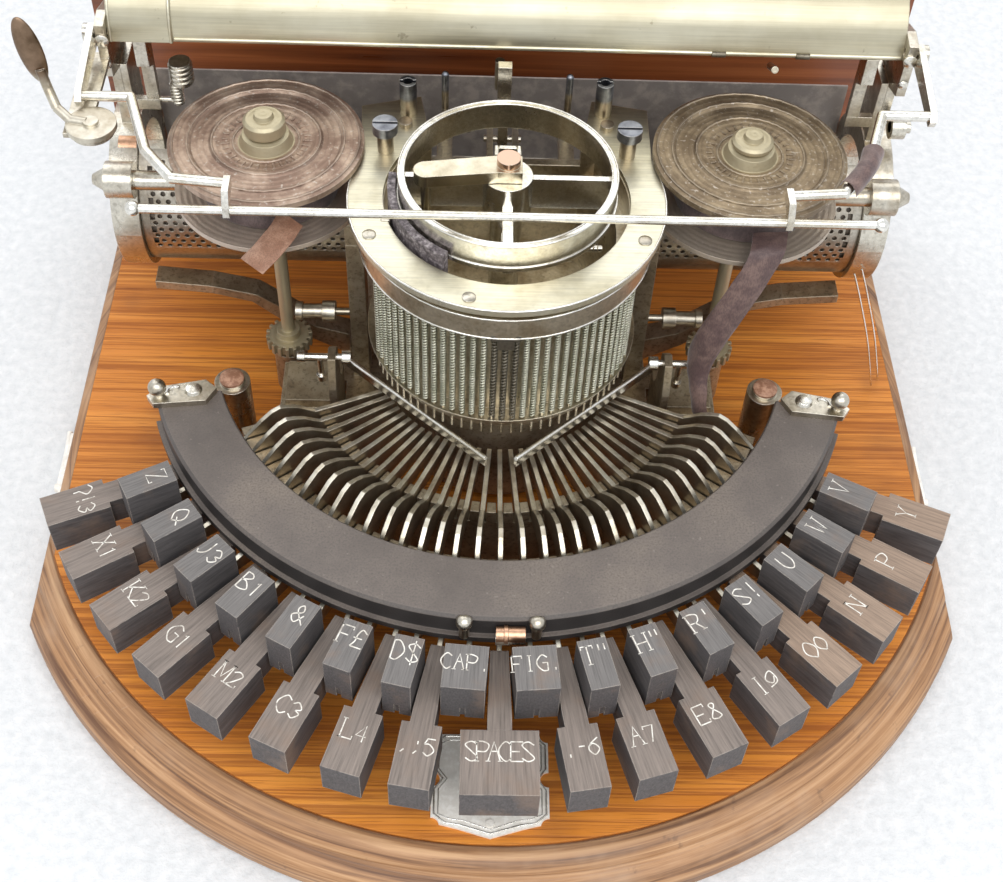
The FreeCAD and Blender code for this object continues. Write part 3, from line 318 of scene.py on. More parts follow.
def metal(name, colour, stain, rough, grime=0.35, scratch=(900.0, 900.0, 900.0), bump=0.03, scale=60.0):
    """Aged metal: brush marks, stains, grime and bright edges."""
    p = Paint(name)
    marks = p.streaks(3.0, 0.6, scratch)
    patch = p.noise(scale, 5.0, 0.62)
    fine = p.noise(scale * 9, 3.0, 0.6)
    base = p.mix(p.step(patch, 0.4, 0.68), colour, stain)
    base = p.over(base, p.step(fine, 0.52, 0.7), grime, shaded(stain, 0.35))
    base = p.brushed(base, marks, 0.8, 1.12)
    base, soft = p.edged(base, 0.35, 0.55, shaded(colour, 1.35))
    p.finish(base, p.linear(patch, 0.3, rough - 0.12), 1.0, marks, bump, soft)


def iron():
    """Oily aged casting, partly bare."""
    p = Paint("iron")
    patch = p.noise(55.0, 5.0, 0.65)
    grit = p.noise(700.0, 4.0, 0.6)
    base = p.ramp(patch, (0.32, (0.22, 0.17, 0.11)), (0.5, (0.42, 0.345, 0.24)), (0.7, (0.6, 0.53, 0.4)))
    base = p.over(base, p.step(grit, 0.5, 0.66), 0.45, (0.09, 0.065, 0.04))
    base, soft = p.edged(base, 0.5, 0.6, (0.48, 0.43, 0.34))
    p.finish(base, p.linear(grit, 0.3, 0.28), 0.85, grit, 0.1, soft)


def japan():
    """Black japanning, faded on top to a warm grey with a fine pebble grain."""
    p = Paint("japan")
    pebble = p.noise(1500.0, 3.0, 0.6)
    patch = p.noise(26.0, 5.0, 0.62)
    dust = p.spots(620.0, 2.0, 0.5, 0.69, 0.75)
    base = p.ramp(patch, (0.3, (0.09, 0.074, 0.064)), (0.52, (0.15, 0.124, 0.106)),
                  (0.72, (0.215, 0.176, 0.142)))
    base = p.mix(p.step(pebble, 0.2, 0.62), (0.095, 0.078, 0.07), base)
    base = p.over(base, dust, 0.25, (0.36, 0.31, 0.26))
    base = p.mix(p.upward(0.5, 0.9), (0.032, 0.028, 0.027), base)
    base, soft = p.edged(base, 0.6, 0.35, (0.2, 0.165, 0.135))
    p.finish(base, p.linear(patch, 0.25, 0.36), 0.0, pebble, 0.05, soft)


def corroded(side, colour, pale):
    """Rough brown spool metal with rings, bright speckles, a paler lower flange and a brassy hub."""
    p = Paint("spool_" + side)
    radius = p.radius(spool_centre(side))
    wobble = p.math("MULTIPLY", p.noise(120.0, 3.0, 0.6), 0.0012)
    rings = p.math("SINE", p.math("MULTIPLY", p.math("ADD", radius, wobble), 3200.0))
    speck = p.noise(820.0, 2.0, 0.55)
    base = p.mix(p.spots(95.0, 5.0, 0.65, 0.36, 0.66), colour, pale)
    base = p.over(base, p.step(speck, 0.6, 0.7), 0.55, (0.56, 0.5, 0.43))
    base = p.over(base, p.step(rings, 0.3, 1.0), 0.22, shaded(colour, 0.5))
    base, soft = p.edged(base, 0.35, 0.5, (0.52, 0.46, 0.38))
    base = p.over(base, p.step(p.axis("Z"), 118.5 * MM, 117.5 * MM), 0.6, (0.6, 0.52, 0.44))
    base = p.mix(p.step(radius, 9.2 * MM, 8.6 * MM), base, (0.46, 0.4, 0.27))
    height = p.math("ADD", p.math("MULTIPLY", rings, 0.25), p.noise(500.0, 4.0, 0.6))
    p.finish(base, p.linear(speck, -0.25, 0.58), 0.72, height, 0.14, soft)


def rubbery(name, colour, light, rough=0.55, depth=0.25, scale=380.0, metal_share=0.0):
    """Matt rough surface such as hard rubber, leather or dull cast metal."""
    p = Paint(name)
    rub = p.noise(scale, 5.0, 0.65)
    base = p.mix(p.step(rub, 0.42, 0.66), colour, light)
    base = p.over(base, p.spots(70.0, 4.0, 0.6, 0.5, 0.7), 0.4, shaded(colour, 0.5))
    p.finish(base, p.linear(rub, 0.2, rough - 0.1), metal_share, rub, depth)


def ribbon_cloth(name, colour, light):
    """Inked ribbon with a fine weave and a soft sheen."""
    p = Paint(name)
    warp = p.streaks(2.0, 0.5, (2600.0, 2600.0, 700.0))
    base = p.mix(p.spots(120.0, 4.0, 0.6, 0.36, 0.66), colour, light)
    base = p.over(base, p.step(warp, 0.45, 0.6), 0.35, shaded(colour, 0.45))
    p.finish(base, p.linear(warp, 0.2, 0.42), 0.0, warp, 0.06, Sheen_Weight=0.35, Sheen_Roughness=0.4)


def legend():
    """Cream filling of the engraved legends, rubbed away in places."""
    p = Paint("legend")
    rub = p.noise(420.0, 4.0, 0.7)
    base = p.ramp(rub, (0.3, (0.22, 0.19, 0.17)), (0.42, (0.58, 0.53, 0.46)), (0.6, (0.82, 0.79, 0.72)))
    p.finish(base, 0.55, 0.0, rub, 0.05)


def floor_cloth():
    """Plain pale floor."""
    p = Paint("floor_cloth")
    grain = p.noise(260.0, 4.0, 0.6)
    base = p.ramp(grain, (0.3, (0.6, 0.61, 0.615)), (0.7, (0.72, 0.72, 0.72)))
    p.finish(base, 0.9, 0.0, grain, 0.6)


def shuttle():
    """Rough dark type band outside the ring, yellowed nickel arm inside it and a coppery screw on the hub."""
    p = Paint("shuttle")
    radius = p.radius()
    is_band = p.math("GREATER_THAN", radius, (RING_OUT + 0.3) * MM)
    is_screw = p.math("MULTIPLY", p.step(radius, 4.6 * MM, 3.9 * MM),
                      p.math("GREATER_THAN", p.axis("Z"), 144.7 * MM))
    rub = p.noise(650.0, 5.0, 0.7)
    band = p.ramp(rub, (0.36, (0.045, 0.036, 0.04)), (0.52, (0.15, 0.125, 0.13)), (0.68, (0.42, 0.38, 0.38)))
    arm = p.ramp(p.noise(90.0, 4.0, 0.6), (0.32, (0.4, 0.34, 0.24)), (0.62, (0.66, 0.61, 0.47)))
    arm = p.mix(is_screw, arm, (0.56, 0.37, 0.27))
    arm, soft = p.edged(arm, 0.3, 0.5, (0.78, 0.74, 0.62))
    p.finish(p.mix(is_band, arm, band), p.linear(is_band, 0.3, 0.26), p.math("SUBTRACT", 1.0, is_band),
             p.math("MULTIPLY", rub, is_band), 0.45, soft)


def lever_paint(name, start, tint):
    """Worn ebony key block outside radius start and a steel lever blade inside it, with painted highlight on the
    blade's upward faces and painted shade on its flanks.
    """
    p = Paint(name)
    is_wood = p.math("GREATER_THAN", p.radius(), start * MM)
    grain = p.noise(1.0, 5.0, 0.7, p.polar(230.0, 60.0, 900.0), 0.2)
    top = p.ramp(grain, (0.3, shaded(tint, 0.6)), (0.5, tint), (0.72, shaded(tint, 1.35)))
    side = p.ramp(grain, (0.3, (0.045, 0.042, 0.043)), (0.7, (0.115, 0.105, 0.104)))
    wood = p.mix(p.upward(0.5, 0.9), side, top)
    wood = p.over(wood, p.spots(60.0, 5.0, 0.6, 0.5, 0.72), 0.5, (0.23, 0.155, 0.11))
    edge, soft = p.edges(0.5)
    chip = p.math("MULTIPLY", edge, p.spots(240.0, 3.0, 0.6, 0.3, 0.55))
    wood = p.over(wood, chip, 0.75, (0.5, 0.44, 0.38))
    stain = p.noise(130.0, 4.0, 0.6)
    # Painted light on the steel blade: the pale ramp is a painted highlight for upward faces, and the darker one
    # is painted shade for the flanks
    bare = p.ramp(stain, (0.3, (0.44, 0.37, 0.27)), (0.55, (0.76, 0.7, 0.57)), (0.75, (0.9, 0.86, 0.76)))
    shaded_flank = p.ramp(stain, (0.3, (0.26, 0.205, 0.14)), (0.7, (0.52, 0.44, 0.32)))
    steel = p.mix(p.upward(0.25, 0.75), shaded_flank, bare)
    shine = p.math("MULTIPLY", p.math("SUBTRACT", 1.0, is_wood), 0.9)
    p.finish(p.mix(is_wood, steel, wood), p.linear(is_wood, 0.28, 0.3), shine,
             p.math("MULTIPLY", grain, is_wood), 0.1, soft)


def cover_nickel():
    """Rolled nickel cover: brushed lengthwise, yellowed, and darkened towards its crown by painted shade."""
    p = Paint("cover_nickel")
    marks = p.streaks(3.0, 0.6, (30.0, 1500.0, 1500.0))
    patch = p.noise(24.0, 5.0, 0.6)
    spots = p.spots(260.0, 3.0, 0.6, 0.66, 0.74)
    height = p.math("ADD", p.axis("Z"), p.linear(patch, 0.006, -0.003))
    base = p.mix(p.step(patch, 0.35, 0.7), (0.66, 0.62, 0.48), (0.54, 0.49, 0.35))
    # Painted shade: the crown is darkened to stand in for the dimmer reflection there
    base = p.over(base, p.step(height, 155.0 * MM, 168.0 * MM), 0.85, (0.3, 0.27, 0.19))
    base = p.brushed(base, marks, 0.86, 1.08)
    base = p.over(base, spots, 0.5, (0.22, 0.18, 0.12))
    base, soft = p.edged(base, 0.4, 0.5, (0.74, 0.71, 0.58))
    p.finish(base, p.linear(patch, 0.2, 0.24), 1.0, marks, 0.012, soft)


def mixed_steel():
    """Blued screw heads and brown posts above the plate, brighter nickel below it."""
    p = Paint("mixed_steel")
    patch = p.noise(180.0, 4.0, 0.6)
    is_head = p.step(p.axis("Z"), 137.0 * MM, 139.0 * MM)
    is_above = p.step(p.axis("Z"), 131.0 * MM, 131.4 * MM)
    nickel = p.ramp(patch, (0.35, (0.4, 0.35, 0.27)), (0.65, (0.72, 0.68, 0.58)))
    post = p.ramp(patch, (0.35, (0.26, 0.21, 0.15)), (0.65, (0.5, 0.43, 0.33)))
    blued = p.ramp(patch, (0.35, (0.13, 0.135, 0.155)), (0.65, (0.33, 0.34, 0.37)))
    base = p.mix(is_above, nickel, p.mix(is_head, post, blued))
    base, soft = p.edged(base, 0.35, 0.45, (0.62, 0.58, 0.5))
    p.finish(base, p.linear(patch, 0.25, 0.22), 1.0, patch, 0.04, soft)


def spoon():
    """Nickel lever whose spoon is worn down to brown metal."""
    p = Paint("spoon")
    patch = p.noise(150.0, 5.0, 0.6)
    nickel = p.ramp(patch, (0.35, (0.42, 0.36, 0.27)), (0.65, (0.7, 0.66, 0.56)))
    brown = p.ramp(patch, (0.35, (0.12, 0.078, 0.048)), (0.65, (0.27, 0.185, 0.125)))
    is_spoon = p.step(p.axis("Z"), 156.0 * MM, 162.0 * MM)
    base, soft = p.edged(p.mix(is_spoon, nickel, brown), 0.4, 0.5, (0.74, 0.68, 0.56))
    p.finish(base, p.linear(patch, 0.3, 0.22), 1.0, patch, 0.05, soft)


for paint in (oak, moulding, red_wood, iron, japan, cover_nickel, mixed_steel, spoon, shuttle, legend,
              floor_cloth):
    paint()
corroded("left", (0.25, 0.165, 0.122), (0.5, 0.375, 0.285))
corroded("right", (0.18, 0.13, 0.08), (0.34, 0.26, 0.165))
lever_paint("key_front", 112.5, (0.195, 0.158, 0.134))
lever_paint("key_back", 117.9, (0.15, 0.138, 0.13))
lever_paint("key_brown", 112.5, (0.275, 0.195, 0.14))
metal("nickel", (0.68, 0.64, 0.55), (0.42, 0.36, 0.27), 0.26)
metal("plate_nickel", (0.68, 0.64, 0.5), (0.52, 0.47, 0.33), 0.34, grime=0.1,
      scratch=(60.0, 1800.0, 400.0), bump=0.012, scale=36.0)
metal("basket_nickel", (0.52, 0.48, 0.41), (0.3, 0.25, 0.19), 0.32, grime=0.3)
rubbery("basket_back", (0.33, 0.29, 0.265), (0.48, 0.415, 0.37), 0.45, 0.04, 160.0, 0.25)
metal("old_nickel", (0.62, 0.56, 0.44), (0.38, 0.31, 0.21), 0.3, grime=0.3)
metal("spring_wire", (0.62, 0.61, 0.5), (0.38, 0.38, 0.28), 0.3, grime=0.3, scale=140.0)
metal("dark_wire", (0.22, 0.2, 0.16), (0.12, 0.1, 0.07), 0.35, grime=0.5, scale=140.0)
metal("steel", (0.62, 0.58, 0.5), (0.38, 0.33, 0.25), 0.24)
metal("bright", (0.86, 0.84, 0.78), (0.62, 0.57, 0.47), 0.2, grime=0.2)
metal("copper", (0.66, 0.4, 0.26), (0.42, 0.24, 0.15), 0.3)
rubbery("pewter", (0.8, 0.76, 0.69), (0.92, 0.89, 0.83), 0.45, 0.1, 520.0, 0.1)
rubbery("roller", (0.1, 0.075, 0.055), (0.2, 0.16, 0.12), 0.5, 0.1)
rubbery("leather", (0.24, 0.11, 0.06), (0.45, 0.25, 0.16), 0.6, 0.2)
ribbon_cloth("wound_ribbon", (0.06, 0.04, 0.04), (0.14, 0.1, 0.095))
ribbon_cloth("ribbon", (0.085, 0.048, 0.045), (0.19, 0.12, 0.1))
ribbon_cloth("ribbon_left", (0.25, 0.12, 0.07), (0.46, 0.27, 0.18))


# Objects and meshes

def put_object(name, data):
    thing = bpy.data.objects.new(name, data)
    bpy.context.scene.collection.objects.link(thing)
    return thing


def put_mesh(name, shapes, paint, body="machine", smooth=35.0):
    """One piece from (verts, faces) shapes in metres, riding on a body; smooth is in degrees."""
    verts, faces = joined(shapes)
    mesh = bpy.data.meshes.new(name)
    mesh.from_pydata([tuple(v) for v in verts], [], faces)
    editor = bmesh.new()
    editor.from_mesh(mesh)
    bmesh.ops.recalc_face_normals(editor, faces=editor.faces)
    editor.to_mesh(mesh)
    editor.free()
    piece = put_object(name, mesh)
    mesh.materials.append(PAINTS[paint])
    mesh.shade_smooth()
    mesh.set_sharp_from_angle(angle=math.radians(smooth))
    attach(piece, body)
    return piece


def rounded(piece, width):
    """Small bevel on a piece's edges."""
    bevel = piece.modifiers.new("round", "BEVEL")
    bevel.width = width * MM
    bevel.segments = 2
    bevel.limit_method = "ANGLE"
    bevel.angle_limit = math.radians(40)


def joined(shapes):
    """Several (verts, faces) as one."""
    verts, faces = [], []
    for v, f in shapes:
        base = len(verts)
        verts += list(v)
        faces += [tuple(base + i for i in face) for face in f]
    return verts, faces


def basis(direction):
    """Two unit vectors square to a unit direction."""
    side = direction.cross(Vector(UP) if abs(direction.z) < 0.9 else Vector((0, 1, 0))).normalized()
    return side, side.cross(direction).normalized()


def lathe(profile, start, direction, sides=48):
    """Closed solid of revolution; the profile is (radius, distance along) in millimetres from start."""
    d = Vector(direction).normalized()
    u, v = basis(d)
    verts, faces, rings = [], [], []
    for r, t in profile:
        centre = Vector(start) + d * t * MM
        if r <= 0:
            rings.append([len(verts)] * sides)
            verts.append(centre)
        else:
            rings.append(list(range(len(verts), len(verts) + sides)))
            for k in range(sides):
                a = math.tau * k / sides
                verts.append(centre + (u * math.cos(a) + v * math.sin(a)) * r * MM)
    for a, b in zip(rings, rings[1:]):
        for k in range(sides):
            n = (k + 1) % sides
            face = tuple(dict.fromkeys((a[k], a[n], b[n], b[k])))
            if len(face) > 2:
                faces.append(face)
    return verts, faces


def ring_faces(rings, count):
    """Sides of a tube of rings of count points, and its two ends."""
    faces = []
    for k in range(rings - 1):
        for i in range(count):
            j = (i + 1) % count
            faces.append((k * count + i, k * count + j, (k + 1) * count + j, (k + 1) * count + i))
    return faces + [tuple(range(count)), tuple(range((rings - 1) * count, rings * count))]


def sweep(points, section, up=None):
    """Section of (across, out) millimetres swept along points in metres, its ends closed."""
    verts = []
    last_side = None
    for k, p in enumerate(points):
        d = (points[min(k + 1, len(points) - 1)] - points[max(k - 1, 0)]).normalized()
        if up is not None:
            side = d.cross(Vector(up)).normalized()
        elif last_side is None:
            side = basis(d)[0]
        else:
            side = (last_side - d * last_side.dot(d)).normalized()
        last_side = side
        out = side.cross(d).normalized()
        verts += [p + (side * x + out * y) * MM for x, y in section]
    return verts, ring_faces(len(points), len(section))


def circle(radius, sides):
    """Round section."""
    turns = [math.tau * k / sides for k in range(sides)]
    return [(radius * math.cos(a), radius * math.sin(a)) for a in turns]


def smooth_path(points, per):
    """Catmull-Rom line through points, with so many steps from each to the next."""
    pts = [points[0] * 2 - points[1]] + points + [points[-1] * 2 - points[-2]]
    path = []
    for a, b, c, d in zip(pts, pts[1:], pts[2:], pts[3:]):
        for k in range(per):
            t = k / per
            path.append(0.5 * (b * 2 + (c - a) * t + (a * 2 - b * 5 + c * 4 - d) * t * t
                               + (b * 3 - a - c * 3 + d) * t ** 3))
    return path + [pts[-2]]


BOX_FACES = [(3, 2, 1, 0), (4, 5, 6, 7), (0, 1, 5, 4), (1, 2, 6, 5), (2, 3, 7, 6), (3, 0, 4, 7)]


def slab(x0, x1, y0, y1, h0, h1):
    """Box between two corners."""
    return [at(x, y, h) for h in (h0, h1) for x, y in ((x0, y0), (x1, y0), (x1, y1), (x0, y1))], BOX_FACES


def hoop(x, y, h, radius, wire_radius, normal="Z", start=0.0, sweep_by=360.0):
    """Round wire ring, or part of one."""
    points = []
    steps = max(8, int(abs(sweep_by) / 6))
    for k in range(steps + 1):
        a = math.radians(start + sweep_by * k / steps)
        c, d = radius * math.cos(a), radius * math.sin(a)
        points.append(at(x + c, y + d, h) if normal == "Z" else at(x, y + c, h + d))
    return sweep(points, circle(wire_radius, 8), UP if normal == "Z" else (1, 0, 0))


def rod(a, b, radius, sides=20):
    """Plain rod between two points."""
    start, end = at(*a), at(*b)
    length = (end - start).length / MM
    return lathe([(0, 0), (radius, 0), (radius, length), (0, length)], start, end - start, sides)


def post(x, y, low, high, radius, sides=20):
    """Upright rod."""
    return rod((x, y, low), (x, y, high), radius, sides)


def bar(x0, x1, y, h, radius, sides=20):
    """Rod along X."""
    return rod((x0, y, h), (x1, y, h), radius, sides)


# CAD nodes keep their shapes and get their finishes

def key_azimuths():
    """Azimuth of each key about the drum's axis, read from its hinge."""
    return {joint["name"].replace("press_", "key_"): math.atan2(joint["axis"][1], joint["axis"][0])
            for joint in frame["joints"] if joint["name"].startswith("press_")}


def key_top(name):
    """Height of a key's top; the levers' humps are lower than a back key."""
    a = AZIMUTHS[name]
    outward = Vector((math.sin(a), -math.cos(a), 0))
    outer = [v.co for v in frame["nodes"][name].data.vertices if v.co.dot(outward) > KEY_HEAD_R * MM]
    return max(co.z for co in outer) / MM - BOARD_TOP


AZIMUTHS = key_azimuths()
KEY_TOPS = {name: key_top(name) for name in AZIMUTHS}
BACK_KEYS = {name for name, top in KEY_TOPS.items() if top > FRONT_KEY_TOP + 2}
SPECIAL = {"base_fittings": "pewter", "line_space_lever": "spoon", "universal_bar_left": "bright",
           "universal_bar_right": "bright", "bail": "bright", "anvil_ring": "bright",
           "top_cover": "cover_nickel", "plate_fittings": "mixed_steel",
           "spool_left": "spool_left", "spool_right": "spool_right"}


def paint_of(name, slot_name):
    """Paint of a node: keys by row and side, some parts by name and the rest by slot."""
    if name in BACK_KEYS:
        return "key_back"
    if name in AZIMUTHS:
        return "key_brown" if AZIMUTHS[name] > math.radians(BROWN_FROM) else "key_front"
    return SPECIAL.get(name, slot_name)


def dress_nodes():
    """Each node's finish, and sharp edges from 30 degrees on."""
    slots = {row["node"]: row["material_slot"] for row in frame["record"]["subparts"]}
    for name, piece in frame["nodes"].items():
        piece.data.materials.clear()
        piece.data.materials.append(PAINTS[paint_of(name, slots[name])])
        piece.data.shade_smooth()
        piece.data.set_sharp_from_angle(angle=math.radians(30))


# Springs

def coil(x, y, turns, wire, inset, end, phase, per_turn):
    """Round wire wound about an upright line; inset is from the springs' outside, end from their ends."""
    radius, low, high = SPRING_R - inset, SPRING_LOW + end, SPRING_HIGH - end
    steps = turns * per_turn
    points = [around(x, y, low + (high - low) * k / steps, radius, phase + math.tau * turns * k / steps)
              for k in range(steps + 1)]
    return sweep(points, circle(wire, 6), UP)


def make_springs():
    """One wound spring over each stop pin; the middle three are darker and more open, of thinner wire."""
    rng = random.Random(3)
    close, middle = [], []
    for k in range(-SPRINGS_PER_SIDE, SPRINGS_PER_SIDE + 1):
        a = math.radians(k * SPRING_PITCH)
        x, y = SPRING_RING * math.sin(a), -SPRING_RING * math.cos(a)
        start = rng.uniform(0, math.tau)
        turns = CLOSE_TURNS + rng.randint(-2, 2)
        if abs(k) <= OPEN_SPRINGS_PER_SIDE:
            middle.append(coil(x, y, OPEN_TURNS, OPEN_WIRE, OPEN_WIRE, 0.3, start, 14))
        else:
            close.append(coil(x, y, turns, CLOSE_WIRE, CLOSE_WIRE + 0.01, 0.35, start, 10))
    springs = put_mesh("spring_coils", close, "spring_wire")
    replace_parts(springs, "drum_springs")
    put_mesh("middle_spring_coils", middle, "dark_wire")
    tab = [slab(-2.6, 2.6, -46.0, -44.6, 91.5, 97.5), slab(-4.6, 4.6, -46.4, -45.0, 95.6, 98.4)]
    rounded(put_mesh("middle_spring_tab", tab, "dark_wire"), 0.3)


# Basket

def basket_point(x, angle, depth):
    """Point at a depth under the basket's outside."""
    r = BASKET_R - depth
    return at(x, BASKET_Y + r * math.cos(angle), BASKET_H + r * math.sin(angle))


def perforated(x0, x1):
    """Rolled sheet with offset rows of round holes, as closed cells of two skins."""
    first, span = math.radians(HOLES_FROM), math.radians(HOLES_TO - HOLES_FROM)
    rows = round(span * BASKET_R / (HOLE_PITCH * ROW_SHARE))
    across = int((x1 - x0) / HOLE_PITCH)
    step = span / rows
    width = (x1 - x0) / across
    verts, faces, index = [], [], {}

    def point(x, angle, skin):
        key = (round(x, 4), round(angle, 6), skin)
        if key not in index:
            index[key] = len(verts)
            verts.append(basket_point(x, angle, skin * BASKET_SHEET))
        return index[key]

    for row in range(rows):
        low = first + row * step
        offset = row % 2
        for k in range(across - offset):
            left = x0 + (k + 0.5 * offset) * width
            mid, right, top = left + width / 2, left + width, low + step
            border = [(left, low), (mid, low), (right, low), (right, top), (mid, top), (left, top)]
            rim = []
            for n in range(12):
                turn = math.tau * n / 12 - math.pi * 5 / 6
                rim.append((mid + HOLE_R * math.cos(turn),
                            low + step / 2 + HOLE_R * math.sin(turn) / BASKET_R))
            for skin in (0, 1):
                b = [point(*q, skin) for q in border]
                r = [point(*q, skin) for q in rim]
                for n in range(6):
                    face = (b[n], b[(n + 1) % 6], r[(2 * n + 2) % 12], r[2 * n + 1], r[2 * n])
                    faces.append(face if skin == 0 else face[::-1])
            for n in range(12):
                m = (n + 1) % 12
                faces.append((point(*rim[n], 0), point(*rim[m], 0), point(*rim[m], 1), point(*rim[n], 1)))
    return verts, faces


def rolled(x0, x1, first, last, steps=40, depth=0.0, sheet=BASKET_SHEET):
    """Smooth part of the rolled sheet, closed all round."""
    verts = []
    for k in range(steps + 1):
        a = math.radians(first + (last - first) * k / steps)
        verts += [basket_point(x, a, d)
                  for x, d in ((x0, depth), (x1, depth), (x1, depth + sheet), (x0, depth + sheet))]
    return verts, ring_faces(steps + 1, 4)


def make_basket():
    """Paper basket: perforated front band between smooth margins, a smooth rear sheet, and a dark sheet of painted
    shade behind the holes.
    """
    low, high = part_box("paper_basket")
    x0, x1 = low.x / MM, high.x / MM
    inner0, inner1 = x0 + BASKET_MARGIN, x1 - BASKET_MARGIN
    strips = [rolled(x0, x1, BASKET_FROM, HOLES_FROM, 14), rolled(x0, inner0, HOLES_FROM, HOLES_TO, 30),
              rolled(inner1, x1, HOLES_FROM, HOLES_TO, 30), rolled(x0, x1, HOLES_TO, BASKET_REAR_FROM, 20)]
    wall = slab(x0, x1, BASKET_Y + BASKET_R - BASKET_SHEET, BASKET_Y + BASKET_R, BASKET_H + 0.02,
                BASKET_REAR_TOP)
    rear = [rolled(x0, x1, BASKET_REAR_FROM, 360.0), wall]
    # Painted shade: a dark sheet just inside the holes stands in for the shaded inside of the basket
    shade_sheet = rolled(x0 + 0.6, x1 - 0.6, 119.0, 206.0, depth=1.2, sheet=0.3)
    for name, shapes, paint in (("perforated_band", [perforated(inner0, inner1)], "basket_nickel"),
                                ("margins", strips, "basket_nickel"), ("rear_sheet", rear, "basket_back")):
        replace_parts(put_mesh("basket_" + name, shapes, paint, "carriage"), "paper_basket")
    put_mesh("basket_shade_sheet", [shade_sheet], "roller", "carriage")


# Ribbons

def ribbon_sheet(name, stations, width, paint, body="machine"):
    """Ribbon of even width hanging through (x, y, h, facing, lean, curl) stations.

    Facing and lean are in degrees, and curl is the bend across the width in radians.
    """
    centre = smooth_path([at(*station[:3]) for station in stations], RIBBON_STEPS)
    verts = []
    total = len(stations) - 1
    for k, point in enumerate(centre):
        t = min(k / RIBBON_STEPS, total - 1e-6)
        i, share = int(t), t - int(t)
        facing, lean, curl = (stations[i][n] * (1 - share) + stations[i + 1][n] * share for n in (3, 4, 5))
        a, b = math.radians(facing), math.radians(lean)
        side = Vector((math.cos(a), math.sin(a), 0))
        out = Vector((math.sin(a) * math.cos(b), -math.cos(a) * math.cos(b), math.sin(b)))
        radius = width / curl
        skins = []
        for skin in (1, -1):
            line = []
            for n in range(RIBBON_ACROSS + 1):
                u = (n / RIBBON_ACROSS - 0.5) * curl
                wave = 0.12 * math.sin(k * 0.9 + n * 0.7)
                away = radius * (math.cos(u) - 1) + wave + skin * RIBBON_THICK / 2
                line.append(point + (side * radius * math.sin(u) + out * away) * MM)
            skins.append(line[::skin])
        verts += skins[0] + skins[1]
    shape = verts, ring_faces(len(centre), 2 * (RIBBON_ACROSS + 1))
    piece = put_mesh(name, [shape], paint, body, 60.0)
    return piece


def make_ribbons():
    """Hanging end on the right, the short torn end on the left and a stretch over the bail's arm."""
    right = ribbon_sheet("ribbon_right_end", [
        (82.5, -5, 103.7, 5, 88, 0.2), (81, -12.3, 102.6, 5, 68, 0.3), (79, -15.0, 97, 5, 20, 0.5),
        (74, -17, 84, -5, 8, 0.9), (67.5, -18.5, 68, -20, 4, 1.4), (64, -18.2, 54, -42, 2, 2.2),
        (64.6, -20.4, 44, -62, 2, 2.7), (66.3, -21.4, 34.5, -74, 2, 3.0)],
        RIBBON_WIDE, "ribbon")
    left = ribbon_sheet("ribbon_left_end", [
        (-66.5, -4.0, 104.2, -42, 88, 0.2), (-71, -12.0, 102.4, -42, 76, 0.5),
        (-78.6, -17.2, 96.4, -42, 55, 0.8)],
        RIBBON_LEFT_WIDE, "ribbon_left")
    ribbon_sheet("ribbon_over_arm", [
        (99.2, -15.4, 133.4, -50, 90, 3.2), (103.3, -10.3, 133.9, -36, 90, 3.5),
        (106.8, -4.8, 134.0, -26, 90, 3.4), (109.6, 2.0, 133.7, -21, 90, 3.1)],
        RIBBON_LEFT_WIDE, "ribbon", "bail_body")
    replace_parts(right, "ribbon_tails")
    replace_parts(left, "ribbon_tails")


# Spools

def spool_ticks(cx, cy):
    """Ring of small raised ticks on a top flange, every third one longer."""
    ticks = []
    for k in range(TICKS):
        a = math.tau * k / TICKS
        half = 1.0 if k % 3 else 1.5
        d, n = Vector((math.cos(a), math.sin(a), 0)), Vector((-math.sin(a), math.cos(a), 0))
        c = around(cx, cy, SPOOL_TOP - 0.75, TICK_RING, a)
        corners = [c + (d * p * half + n * q * TICK_HALF) * MM + Vector((0, 0, rise * MM))
                   for rise in (0.0, TICK_RISE) for p, q in ((-1, -1), (1, -1), (1, 1), (-1, 1))]
        ticks.append((corners, BOX_FACES))
    return ticks


def spool_ridges(cx, cy):
    """Raised rings of a top flange, slightly wavy."""
    ridges = []
    for radius, rise, thick in SPOOL_RIDGES:
        points = [around(cx, cy, SPOOL_TOP + rise + 0.12 * math.sin(k * 2.3), radius, math.tau * k / 96)
                  for k in range(97)]
        ridges.append(sweep(points, circle(thick, 6), UP))
    return ridges


def make_spool_details():
    """Wound ribbon between the flanges, the top flange's ticks and ridges, and the knob's screw."""
    for side in ("left", "right"):
        spool = "spool_" + side
        body = spool + "_body"
        cx, cy = (c / MM for c in spool_centre(side))
        start = (WINDING_IN, WINDING_LOW)
        layers = [start, (WINDING_OUT, WINDING_LOW)]
        layers += [(WINDING_OUT + WINDING_EDGE * (k % 2), WINDING_LOW + k) for k in range(1, 14)]
        layers += [(WINDING_OUT, WINDING_HIGH), (WINDING_IN, WINDING_HIGH), start]
        winding = lathe(layers, at(cx, cy, 0), UP, 72)
        put_mesh(spool + "_winding", [winding], "wound_ribbon", body, 50.0)
        put_mesh(spool + "_ticks", spool_ticks(cx, cy), spool, body)
        put_mesh(spool + "_ridges", spool_ridges(cx, cy), spool, body, 60.0)
        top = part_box(spool)[1].z / MM - BOARD_TOP
        screw = lathe([(0, 0), (2.1, 0), (2.1, 0.3), (1.6, 0.75), (0, 0.9)], at(cx, cy, top - 0.95), UP, 24)
        put_mesh(spool + "_knob_screw", [screw], "bright", body, smooth=50.0)


# Legends: thin strokes between points of a grid 4 wide and 6 high, each a column and a row, where row a
# is below the line; ~ marks a smooth stroke, and the ends of straight ones on the lines get small serifs

